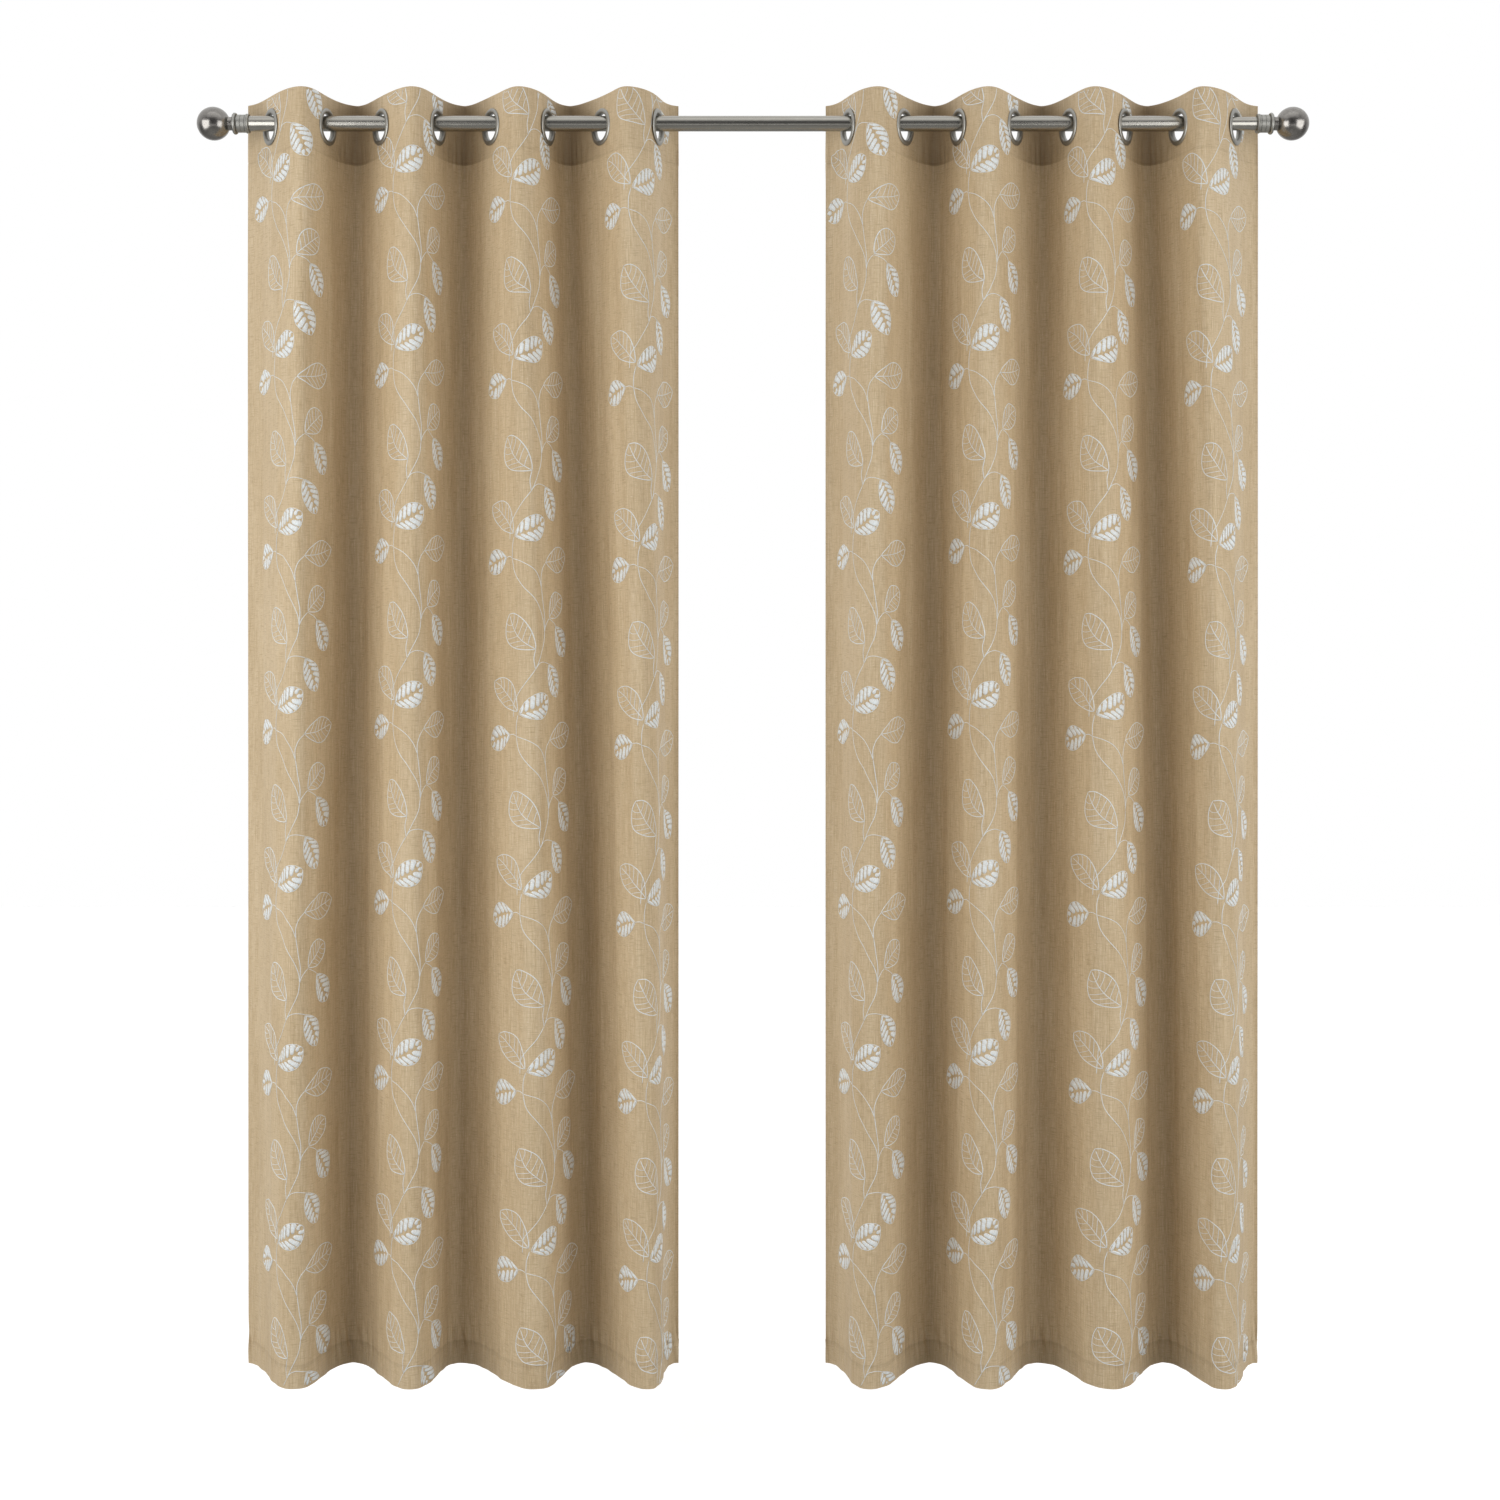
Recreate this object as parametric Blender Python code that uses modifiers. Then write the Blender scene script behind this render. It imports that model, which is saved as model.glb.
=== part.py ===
"""A pair of grommet-top window curtains hung on a telescoping rod.

Metres, +Z up.  The origin is on the wall plane, level with the rod and midway between
the brackets.  +X runs along the rod to the right as seen from the room, and +Y points
into the wall, so the curtains hang at negative Y.
"""

import math

import bmesh
import bpy
from mathutils import Matrix, Vector

# Rod
ROD_HALF_LENGTH = 0.840        # from the middle to the inboard end of each finial collar
OUTER_TUBE_RADIUS = 0.0127
OUTER_TUBE_WALL = 0.0012
TUBE_PLAY = 0.0004             # between the thin tube and the thick one
INNER_TUBE_WALL = 0.0010
INNER_TUBE_SHOWN = 0.105       # length of the thin tube outside the thick one, closed right up
INNER_TUBE_SETBACK = 0.173     # from the thick tube's left end to the thin tube's
TUBE_IN_COLLAR = 0.0165        # how far each tube end goes into its collar

# Finials
BALL_RADIUS = 0.0276
BALL_WALL = 0.0016
BALL_NECK_RADIUS = 0.0120
BALL_NECK_LENGTH = 0.0055
STUD_RADIUS = 0.0040
STUD_BORE = 0.0020
STUD_LENGTH = 0.0080
COLLAR_WALL = 0.00205          # beyond the thick tube's outside
COLLAR_LENGTH = 0.0266
COLLAR_RIM_PROUD = 0.00125
COLLAR_RIM_LENGTH = 0.0053
COLLAR_FLANGE_PROUD = 0.00325
COLLAR_FLANGE_LENGTH = 0.0053

# Brackets
BRACKET_INBOARD = 0.026        # from the outermost grommet's centre to the middle of the arm
ARM_WIDTH = 0.010
ARM_DEPTH = 0.008
CUP_WALL = 0.004
PLATE_WIDTH = 0.026
PLATE_HEIGHT = 0.080
PLATE_THICKNESS = 0.0035
PLATE_DROP = 0.012             # the plate's middle below the rod's axis
WALL_SCREW_SPACING = 0.056
WALL_SCREW_RADIUS = 0.0020
WALL_SCREW_LENGTH = 0.028
WALL_SCREW_HEAD_RADIUS = 0.0042
WALL_SCREW_HEAD_HEIGHT = 0.0024
CLAMP_SCREW_RADIUS = 0.0020
CLAMP_SCREW_SHANK = 0.010
CLAMP_KNOB_RADIUS = 0.0060
CLAMP_KNOB_HEIGHT = 0.0070

# Curtain panels
GROMMETS = 8
INNERMOST_GROMMET = 0.160      # from the middle of the rod
OUTERMOST_TO_COLLAR = 0.0367   # from the outermost grommet's centre to the finial's collar
PANEL_DROP = 2.134             # cut length, from top edge to bottom edge
FOLD_RATIO = 0.062 / 0.0919    # a fold's depth from the rod's axis, over the grommet pitch
WALL_GAP = 0.027               # from the middle of the cloth at a back fold to the wall
LEAN = {"left": 0.20, "right": -0.125}   # how far each panel's folds lean along the rod
EDGE_PHASE = {"left": (-0.44, 7.5), "right": (-0.48, 7.5)}
HEADER_ABOVE = 0.051           # top edge above the grommets' centres
HEADER_DEPTH = 0.102
PLY = 0.0008
TAPE_THICKNESS = 0.0006
COLUMNS_PER_FOLD = 8

# Grommets
BORE_PLAY = 0.0088             # from the thick tube's side to the bore, all round
FLANGE_WIDTH = 0.0090
BARREL_WALL = 0.0012
FLANGE_HEIGHT = 0.0032
FLANGE_SLOPE = 0.0028
BACK_HEIGHT = 0.0027
SEAT_PLAY = 0.0004             # flange to the nearest cloth, which bends under the flange

CLEARANCE = 0.0003             # between fixed pieces that touch
GROMMET_STEPS = 16
ROUND_STEPS = 20
SMALL_STEPS = 12
BALL_ARC_STEPS = 9

# Values that follow from those above
INNER_TUBE_RADIUS = OUTER_TUBE_RADIUS - OUTER_TUBE_WALL - TUBE_PLAY
COLLAR_RADIUS = OUTER_TUBE_RADIUS + COLLAR_WALL
COLLAR_RIM_RADIUS = COLLAR_RADIUS + COLLAR_RIM_PROUD
COLLAR_FLANGE_RADIUS = COLLAR_RADIUS + COLLAR_FLANGE_PROUD
GROMMET_BORE = OUTER_TUBE_RADIUS + BORE_PLAY
GROMMET_RADIUS = GROMMET_BORE + FLANGE_WIDTH
PLY_OFFSET = TAPE_THICKNESS / 2 + CLEARANCE + PLY / 2
HEADER_HALF = PLY_OFFSET + PLY / 2
OUTERMOST_GROMMET = ROD_HALF_LENGTH - OUTERMOST_TO_COLLAR
GROMMET_PITCH = (OUTERMOST_GROMMET - INNERMOST_GROMMET) / (GROMMETS - 1)
FOLD_DEPTH = FOLD_RATIO * GROMMET_PITCH
FOLD_SLOPE = math.pi * FOLD_DEPTH           # how steeply the cloth crosses the rod, per half wave
ROD_PROJECTION = FOLD_DEPTH + WALL_GAP      # from the wall to the rod's axis
BRACKET_X = OUTERMOST_GROMMET - BRACKET_INBOARD
FIRST_GROMMET_X = {"left": -OUTERMOST_GROMMET, "right": INNERMOST_GROMMET}
OUTWARD = {"left": -1, "right": 1}
TUBE_RADIUS = {"left": OUTER_TUBE_RADIUS, "right": INNER_TUBE_RADIUS}
BARREL_RADIUS = GROMMET_BORE + BARREL_WALL
HOLE_RADIUS = BARREL_RADIUS + CLEARANCE


def run_per_fold(way):
    """How far the cloth runs along the rod per half wave: 1 where it crosses it the flattest,
    -1 where it crosses it the steepest."""
    return GROMMET_PITCH + way * max(abs(lean) for lean in LEAN.values()) * FOLD_SLOPE


def bend_under_flange():
    """How far the cloth leaves a grommet's plane at the flange's edge: a sine's third order."""
    crossing = math.hypot(run_per_fold(-1), FOLD_SLOPE)
    turn = math.pi * GROMMET_RADIUS / crossing
    return FOLD_DEPTH * turn ** 3 / 6 * GROMMET_PITCH / crossing


def hanging_drop(half_length):
    """The lowest that a grommet can hang below the rod's axis with the tilted tube clear of it."""
    tilt = math.atan(run_per_fold(1) / FOLD_SLOPE)
    bore = GROMMET_BORE * math.cos(math.pi / GROMMET_STEPS)
    shift = half_length * math.tan(tilt) + CLEARANCE
    drop = 0.0
    while True:
        for step in range(-9, 10):
            rise = OUTER_TUBE_RADIUS * step / 10
            reach = math.sqrt(OUTER_TUBE_RADIUS ** 2 - rise ** 2) / math.cos(tilt) + shift
            if math.hypot(reach, drop + rise) > bore:
                return drop
        drop += 0.00005


SEAT_CLEARANCE = SEAT_PLAY + bend_under_flange()
GROMMET_DROP = hanging_drop(HEADER_HALF + SEAT_CLEARANCE + FLANGE_HEIGHT)
TOP_Z = HEADER_ABOVE - GROMMET_DROP
BOTTOM_Z = TOP_Z - PANEL_DROP


# ---------------------------------------------------------------- scene and materials

def clear_scene():
    for obj in list(bpy.data.objects):
        bpy.data.objects.remove(obj, do_unlink=True)


def new_collection(name, hidden=False):
    collection = bpy.data.collections.new(name)
    bpy.context.scene.collection.children.link(collection)
    collection.hide_render = hidden
    return collection


def make_material(name, colour, roughness, metallic):
    material = bpy.data.materials.new(name)
    material.use_nodes = True
    shader = material.node_tree.nodes["Principled BSDF"]
    shader.inputs["Base Color"].default_value = (*colour, 1.0)
    shader.inputs["Roughness"].default_value = roughness
    shader.inputs["Metallic"].default_value = metallic
    return material


def linen_material():
    return make_material("linen_cloth", (0.47, 0.39, 0.30), 0.90, 0.0)


def tape_material():
    return make_material("stiff_tape", (0.80, 0.79, 0.76), 0.95, 0.0)


def nickel_material():
    return make_material("brushed_nickel", (0.52, 0.50, 0.47), 0.30, 1.0)


def pewter_material():
    return make_material("antique_pewter", (0.16, 0.16, 0.17), 0.35, 1.0)


def grommet_material():
    return make_material("grommet_metal", (0.30, 0.29, 0.28), 0.32, 1.0)


def steel_material():
    return make_material("zinc_steel", (0.55, 0.55, 0.56), 0.40, 1.0)


# ---------------------------------------------------------------- shared shape makers

def link(name, data, collection, material):
    obj = bpy.data.objects.new(name, data)
    collection.objects.link(obj)
    if material:
        data.materials.append(material)
    return obj


def facing(direction, place):
    """The transform that takes local +Z to a direction, at a place."""
    turn = Vector(direction).normalized().to_track_quat("Z", "Y")
    return Matrix.Translation(place) @ turn.to_matrix().to_4x4()


def smooth(mesh):
    mesh.shade_smooth()
    mesh.set_sharp_from_angle(angle=math.radians(35))


def turned(name, profile, steps, collection, material, closed=False):
    """A profile of (radius, height) points, top to bottom, turned about local Z."""
    mesh = bpy.data.meshes.new(name)
    points = [(radius, 0.0, height) for radius, height in profile]
    edges = [(i, i + 1) for i in range(len(points) - 1)]
    if closed:
        edges.append((len(points) - 1, 0))
    mesh.from_pydata(points, edges, [])
    obj = link(name, mesh, collection, material)
    screw = obj.modifiers.new("turn", "SCREW")
    screw.axis = "Z"
    screw.angle = 2 * math.pi
    screw.steps = steps
    screw.render_steps = steps
    screw.use_merge_vertices = True
    screw.merge_threshold = 0.00001
    screw.use_smooth_shade = True
    return obj


def tube(name, radius, wall, start_x, end_x, collection, material):
    """A straight round tube along X at the rod's axis, open at both ends."""
    inner = radius - wall
    length = end_x - start_x
    profile = [(inner, length), (radius, length), (radius, 0.0), (inner, 0.0)]
    obj = turned(name, profile, ROUND_STEPS, collection, material, closed=True)
    obj.matrix_world = facing((1, 0, 0), (start_x, -ROD_PROJECTION, 0.0))
    return obj


def round_bar(name, radius, height, steps, collection, transform):
    """A plain cylinder from local Z = -height/2 to height/2, used as a cutter."""
    mesh = bpy.data.meshes.new(name)
    shape = bmesh.new()
    bmesh.ops.create_cone(
        shape, cap_ends=True, segments=steps, radius1=radius, radius2=radius, depth=height
    )
    shape.to_mesh(mesh)
    shape.free()
    obj = link(name, mesh, collection, None)
    obj.matrix_world = transform
    obj.hide_render = True
    obj.display_type = "WIRE"
    return obj


def cut(obj, cutters):
    for cutter in cutters:
        boolean = obj.modifiers.new("cut_" + cutter.name, "BOOLEAN")
        boolean.operation = "DIFFERENCE"
        boolean.solver = "EXACT"
        boolean.object = cutter


def flat_outline(name, points, thickness, collection, material):
    """A closed outline in local XY, extruded evenly to both sides, as a welded mesh."""
    curve = bpy.data.curves.new(name + "_outline", "CURVE")
    curve.dimensions = "2D"
    curve.fill_mode = "BOTH"
    curve.extrude = thickness / 2
    spline = curve.splines.new("POLY")
    spline.points.add(len(points) - 1)
    for point, (x, y) in zip(spline.points, points):
        point.co = (x, y, 0.0, 1.0)
    spline.use_cyclic_u = True
    guide = link(name + "_outline", curve, collection, None)
    graph = bpy.context.evaluated_depsgraph_get()
    mesh = bpy.data.meshes.new_from_object(guide.evaluated_get(graph))
    mesh.name = name
    shape = bmesh.new()
    shape.from_mesh(mesh)
    bmesh.ops.remove_doubles(shape, verts=shape.verts, dist=0.00001)
    bmesh.ops.recalc_face_normals(shape, faces=shape.faces)
    shape.to_mesh(mesh)
    shape.free()
    bpy.data.objects.remove(guide, do_unlink=True)
    return link(name, mesh, collection, material)


# ---------------------------------------------------------------- the hung cloth's plan

def plan_point(side, phase):
    """Where the cloth's middle is in plan, at a phase counted in half waves."""
    wave = math.sin(math.pi * phase)
    x = FIRST_GROMMET_X[side] + GROMMET_PITCH * phase + LEAN[side] * FOLD_DEPTH * wave
    return Vector((x, -ROD_PROJECTION - FOLD_DEPTH * wave, 0.0))


def plan_normal(side, phase):
    """The unit vector out of the cloth's face, on the room side."""
    slope = math.pi * FOLD_DEPTH * math.cos(math.pi * phase)
    along = Vector((GROMMET_PITCH + LEAN[side] * slope, -slope, 0.0))
    return Vector((along.y, -along.x, 0.0)).normalized()


def grommet_phase(side, number):
    """Grommets count from the outermost, number 1, towards the middle of the rod."""
    return number - 1 if side == "left" else GROMMETS - number


def grommet_transform(side, number):
    phase = grommet_phase(side, number)
    place = plan_point(side, phase) + Vector((0.0, 0.0, -GROMMET_DROP))
    return facing(plan_normal(side, phase), place)


def hung_sheet(name, side, rows, thickness, collection, material):
    """A sheet that follows the plan curve.  Each row is (offset towards the room, height)."""
    first, last = EDGE_PHASE[side]
    columns = round((last - first) * COLUMNS_PER_FOLD)
    shape = bmesh.new()
    bmesh.ops.create_grid(shape, x_segments=columns, y_segments=len(rows) - 1, size=1.0)
    for vertex in shape.verts:
        column = (vertex.co.x + 1) / 2 * columns
        row = round((vertex.co.y + 1) / 2 * (len(rows) - 1))
        offset, height = rows[row]
        phase = first + (last - first) * column / columns
        place = plan_point(side, phase) + plan_normal(side, phase) * offset
        vertex.co = (place.x, place.y, height)
    mesh = bpy.data.meshes.new(name)
    shape.to_mesh(mesh)
    shape.free()
    smooth(mesh)
    obj = link(name, mesh, collection, material)
    solid = obj.modifiers.new("thickness", "SOLIDIFY")
    solid.thickness = thickness
    solid.offset = 0.0
    solid.use_even_offset = True
    return obj


# ---------------------------------------------------------------- rod and finials

def make_rod(parts, nickel):
    reach = ROD_HALF_LENGTH + TUBE_IN_COLLAR
    outer_end = ROD_HALF_LENGTH - INNER_TUBE_SHOWN
    tube("outer_tube", OUTER_TUBE_RADIUS, OUTER_TUBE_WALL, -reach, outer_end, parts, nickel)
    inner_start = INNER_TUBE_SETBACK - reach
    tube("inner_tube", INNER_TUBE_RADIUS, INNER_TUBE_WALL, inner_start, reach, parts, nickel)


def make_collar(side, parts, material):
    """A stepped sleeve that caps the tube end and takes the ball's stud."""
    bore = TUBE_RADIUS[side] + CLEARANCE
    floor = TUBE_IN_COLLAR + CLEARANCE
    stud_hole = STUD_RADIUS + CLEARANCE
    flange_start = COLLAR_LENGTH - COLLAR_FLANGE_LENGTH
    profile = [
        (stud_hole, COLLAR_LENGTH),
        (COLLAR_FLANGE_RADIUS, COLLAR_LENGTH),
        (COLLAR_FLANGE_RADIUS, flange_start),
        (COLLAR_RADIUS, flange_start),
        (COLLAR_RADIUS, COLLAR_RIM_LENGTH),
        (COLLAR_RIM_RADIUS, COLLAR_RIM_LENGTH),
        (COLLAR_RIM_RADIUS, 0.0),
        (bore, 0.0),
        (bore, floor),
        (stud_hole, floor),
    ]
    name = side + "_finial_collar"
    obj = turned(name, profile, ROUND_STEPS, parts, material, closed=True)
    out = OUTWARD[side]
    obj.matrix_world = facing((out, 0, 0), (out * ROD_HALF_LENGTH, -ROD_PROJECTION, 0.0))
    return obj


def ball_arc(radius, neck_radius, centre):
    """Points down a sphere's side, from its outer pole to where a neck leaves it."""
    sweep = math.pi - math.asin(neck_radius / radius)
    points = []
    for i in range(BALL_ARC_STEPS + 1):
        angle = sweep * i / BALL_ARC_STEPS
        points.append((radius * math.sin(angle), centre + radius * math.cos(angle)))
    return points


def make_ball(side, parts, material):
    """A hollow ball with a short neck and a bored stud, which goes into the collar."""
    neck_start = COLLAR_LENGTH + CLEARANCE
    stud_end = neck_start - STUD_LENGTH
    centre = COLLAR_LENGTH + BALL_NECK_LENGTH + BALL_RADIUS
    outside = ball_arc(BALL_RADIUS, BALL_NECK_RADIUS, centre)
    inside = ball_arc(BALL_RADIUS - BALL_WALL, STUD_BORE, centre)
    profile = outside + [
        (BALL_NECK_RADIUS, neck_start),
        (STUD_RADIUS, neck_start),
        (STUD_RADIUS, stud_end),
        (STUD_BORE, stud_end),
    ]
    profile += reversed(inside)
    obj = turned(side + "_finial_ball", profile, ROUND_STEPS, parts, material)
    out = OUTWARD[side]
    obj.matrix_world = facing((out, 0, 0), (out * ROD_HALF_LENGTH, -ROD_PROJECTION, 0.0))
    return obj


# ---------------------------------------------------------------- brackets

def arc(radius, start, end, steps):
    """Points on a circle about the origin, angles in degrees."""
    points = []
    for i in range(steps + 1):
        angle = math.radians(start + (end - start) * i / steps)
        points.append((radius * math.cos(angle), radius * math.sin(angle)))
    return points


def make_arm(side, parts, cutters, material):
    """An open cup under the rod and the bar from it to the wall plate, as one piece."""
    bore = TUBE_RADIUS[side] + CLEARANCE
    outer = bore + CUP_WALL
    bar_end = ROD_PROJECTION - PLATE_THICKNESS - CLEARANCE
    bar_bottom = -outer
    bar_top = bar_bottom + ARM_DEPTH
    join = math.degrees(math.asin(bar_top / outer))
    outline = arc(bore, 180, 360, 12)
    outline += arc(outer, 360, 360 + join, 3)
    outline += [(bar_end, bar_top), (bar_end, bar_bottom)]
    outline += arc(outer, 270, 180, 6)
    name = side + "_bracket_arm"
    arm = flat_outline(name, outline, ARM_WIDTH, parts, material)
    place = Vector((OUTWARD[side] * BRACKET_X, -ROD_PROJECTION, 0.0))
    # local X runs to the wall, local Y runs up, so the thickness lies along the rod
    axes = Matrix(((0, 0, 1), (1, 0, 0), (0, 1, 0))).to_4x4()
    arm.matrix_world = Matrix.Translation(place) @ axes
    hole_place = place + Vector((0.0, 0.0, -bore - CUP_WALL / 2))
    hole = round_bar(
        name + "_hole",
        CLAMP_SCREW_RADIUS + CLEARANCE,
        CUP_WALL * 2,
        SMALL_STEPS,
        cutters,
        Matrix.Translation(hole_place),
    )
    cut(arm, [hole])
    return arm


def make_clamp_screw(side, parts, material):
    """The thumb screw that comes up through the cup and stops the rod from turning."""
    profile = [
        (0.0, 0.0),
        (CLAMP_SCREW_RADIUS, 0.0),
        (CLAMP_SCREW_RADIUS, -CLAMP_SCREW_SHANK),
        (CLAMP_KNOB_RADIUS, -CLAMP_SCREW_SHANK),
        (CLAMP_KNOB_RADIUS, -CLAMP_SCREW_SHANK - CLAMP_KNOB_HEIGHT),
        (0.0, -CLAMP_SCREW_SHANK - CLAMP_KNOB_HEIGHT),
    ]
    screw = turned(side + "_clamp_screw", profile, SMALL_STEPS, parts, material)
    tip = -TUBE_RADIUS[side] - CLEARANCE
    screw.location = (OUTWARD[side] * BRACKET_X, -ROD_PROJECTION, tip)
    return screw


def make_wall_plate(side, parts, cutters, material):
    name = side + "_wall_plate"
    mesh = bpy.data.meshes.new(name)
    shape = bmesh.new()
    bmesh.ops.create_cube(shape, size=1.0)
    bmesh.ops.scale(shape, vec=(PLATE_WIDTH, PLATE_THICKNESS, PLATE_HEIGHT), verts=shape.verts)
    corners = [e for e in shape.edges if abs(e.verts[0].co.y - e.verts[1].co.y) > 0.001]
    bmesh.ops.bevel(shape, geom=corners, offset=PLATE_WIDTH * 0.3, segments=4, affect="EDGES")
    shape.to_mesh(mesh)
    shape.free()
    plate = link(name, mesh, parts, material)
    x = OUTWARD[side] * BRACKET_X
    plate.location = (x, -PLATE_THICKNESS / 2, -PLATE_DROP)
    holes = []
    for label, way in (("upper", 1), ("lower", -1)):
        place = (x, -PLATE_THICKNESS / 2, -PLATE_DROP + way * WALL_SCREW_SPACING / 2)
        transform = facing((0, -1, 0), place)
        radius = WALL_SCREW_RADIUS + CLEARANCE
        holes.append(
            round_bar(
                f"{name}_{label}_hole",
                radius,
                PLATE_THICKNESS * 3,
                SMALL_STEPS,
                cutters,
                transform,
            )
        )
    cut(plate, holes)
    return plate


def make_wall_screw(side, label, way, parts, material):
    """A pan-head screw through the wall plate.  Its shank runs into the wall."""
    head_top = PLATE_THICKNESS + CLEARANCE + WALL_SCREW_HEAD_HEIGHT
    head_under = PLATE_THICKNESS + CLEARANCE
    profile = [
        (0.0, head_top),
        (WALL_SCREW_HEAD_RADIUS * 0.7, head_top),
        (WALL_SCREW_HEAD_RADIUS, head_under),
        (WALL_SCREW_RADIUS, head_under),
        (WALL_SCREW_RADIUS, head_under - WALL_SCREW_LENGTH * 0.85),
        (0.0, head_under - WALL_SCREW_LENGTH),
    ]
    screw = turned(f"{side}_wall_screw_{label}", profile, SMALL_STEPS, parts, material)
    height = -PLATE_DROP + way * WALL_SCREW_SPACING / 2
    screw.matrix_world = facing((0, -1, 0), (OUTWARD[side] * BRACKET_X, 0.0, height))
    return screw


# ---------------------------------------------------------------- curtain panels

def make_grommet_holes(side, cutters):
    holes = []
    for number in range(1, GROMMETS + 1):
        holes.append(
            round_bar(
                f"{side}_grommet_hole_{number}",
                HOLE_RADIUS,
                HEADER_HALF * 6,
                GROMMET_STEPS,
                cutters,
                grommet_transform(side, number),
            )
        )
    return holes


def make_cloth(side, holes, parts, material):
    """One length of cloth: the face, turned over at the top and down behind as a header."""
    rows = [
        (-PLY_OFFSET, TOP_Z - HEADER_DEPTH),
        (-PLY_OFFSET, TOP_Z - PLY_OFFSET),
        (0.0, TOP_Z),
        (PLY_OFFSET, TOP_Z - PLY_OFFSET),
        (PLY_OFFSET, BOTTOM_Z),
    ]
    cloth = hung_sheet(side + "_panel_cloth", side, rows, PLY, parts, material)
    cut(cloth, holes)
    return cloth


def make_heading_tape(side, holes, parts, material):
    """The stiffening strip inside the folded header."""
    top = TOP_Z - PLY_OFFSET - PLY
    rows = [(0.0, TOP_Z - HEADER_DEPTH), (0.0, top)]
    name = side + "_heading_tape"
    tape = hung_sheet(name, side, rows, TAPE_THICKNESS, parts, material)
    cut(tape, holes)
    return tape


def make_grommet_front(side, number, parts, material):
    """The face ring, with the barrel that goes through the cloth."""
    under = HEADER_HALF + SEAT_CLEARANCE
    top = under + FLANGE_HEIGHT
    barrel_end = -(under + BACK_HEIGHT) + CLEARANCE
    profile = [
        (GROMMET_BORE, top),
        (GROMMET_RADIUS - FLANGE_SLOPE, top),
        (GROMMET_RADIUS, under),
        (BARREL_RADIUS, under),
        (BARREL_RADIUS, barrel_end),
        (GROMMET_BORE, barrel_end),
    ]
    name = f"{side}_grommet_front_{number}"
    ring = turned(name, profile, GROMMET_STEPS, parts, material, closed=True)
    ring.matrix_world = grommet_transform(side, number)
    return ring


def make_grommet_back(side, number, parts, material):
    """The backing ring, which snaps over the barrel behind the cloth."""
    near = -HEADER_HALF - SEAT_CLEARANCE
    far = near - BACK_HEIGHT
    bore = BARREL_RADIUS + CLEARANCE
    profile = [
        (bore, near),
        (GROMMET_RADIUS, near),
        (GROMMET_RADIUS - FLANGE_SLOPE / 2, far),
        (bore, far),
    ]
    name = f"{side}_grommet_back_{number}"
    ring = turned(name, profile, GROMMET_STEPS, parts, material, closed=True)
    ring.matrix_world = grommet_transform(side, number)
    return ring


# ---------------------------------------------------------------- the whole object

def make_hardware(parts, cutters):
    nickel = nickel_material()
    pewter = pewter_material()
    steel = steel_material()
    make_rod(parts, nickel)
    for side in ("left", "right"):
        make_collar(side, parts, pewter)
        make_ball(side, parts, pewter)
        make_arm(side, parts, cutters, nickel)
        make_clamp_screw(side, parts, steel)
        make_wall_plate(side, parts, cutters, nickel)
        for label, way in (("upper", 1), ("lower", -1)):
            make_wall_screw(side, label, way, parts, steel)


def make_panels(parts, cutters):
    linen = linen_material()
    tape = tape_material()
    metal = grommet_material()
    for side in ("left", "right"):
        holes = make_grommet_holes(side, cutters)
        make_cloth(side, holes, parts, linen)
        make_heading_tape(side, holes, parts, tape)
        for number in range(1, GROMMETS + 1):
            make_grommet_front(side, number, parts, metal)
            make_grommet_back(side, number, parts, metal)


def main():
    clear_scene()
    parts = new_collection("window_curtains")
    cutters = new_collection("cutters", hidden=True)
    make_hardware(parts, cutters)
    make_panels(parts, cutters)
    bpy.context.view_layer.update()


main()
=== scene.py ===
"""Looks for grommet-top window curtains hung on a telescoping rod.

Metres, +Z up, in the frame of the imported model: the origin is on the wall plane, level with
the rod, +X runs along the rod and +Y points into the wall.  Each panel is nine strips of
cloth that meet at its grommets, and its embroidery is cut at the same places.
"""

import math

import bpy
import numpy as np
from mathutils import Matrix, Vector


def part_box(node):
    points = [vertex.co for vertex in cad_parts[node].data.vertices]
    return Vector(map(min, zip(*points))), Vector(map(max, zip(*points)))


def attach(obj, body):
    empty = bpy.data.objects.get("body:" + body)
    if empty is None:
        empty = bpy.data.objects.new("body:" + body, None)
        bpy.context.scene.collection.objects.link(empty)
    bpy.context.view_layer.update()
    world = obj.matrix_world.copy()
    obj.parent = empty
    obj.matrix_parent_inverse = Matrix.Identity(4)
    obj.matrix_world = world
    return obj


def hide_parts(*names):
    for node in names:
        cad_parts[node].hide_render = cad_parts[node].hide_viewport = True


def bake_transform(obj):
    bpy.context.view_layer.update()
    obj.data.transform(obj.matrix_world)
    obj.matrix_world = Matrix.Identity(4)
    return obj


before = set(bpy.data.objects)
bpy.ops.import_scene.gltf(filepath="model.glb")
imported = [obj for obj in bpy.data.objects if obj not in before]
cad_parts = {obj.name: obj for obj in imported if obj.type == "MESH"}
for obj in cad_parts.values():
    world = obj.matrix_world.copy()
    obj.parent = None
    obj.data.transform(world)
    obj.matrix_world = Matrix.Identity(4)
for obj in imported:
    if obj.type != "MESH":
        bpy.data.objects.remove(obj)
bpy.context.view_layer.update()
MM = 0.001

# ---------------------------------------------------------------- the hung cloth
GROMMETS = 8
HEADER_DEPTH = 0.102
FACE = 0.0014                  # cloth face in front of the middle of the header
PLY = 0.0008
HOLE_CUT = 0.0245              # hidden under the grommet's flange
CELLS_BESIDE_HOLE = 4
COLUMNS_PER_FOLD = 32
ROW_STEP = 0.010
HEM_DEPTH = 0.040
SIDE_HEM = 0.014
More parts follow.
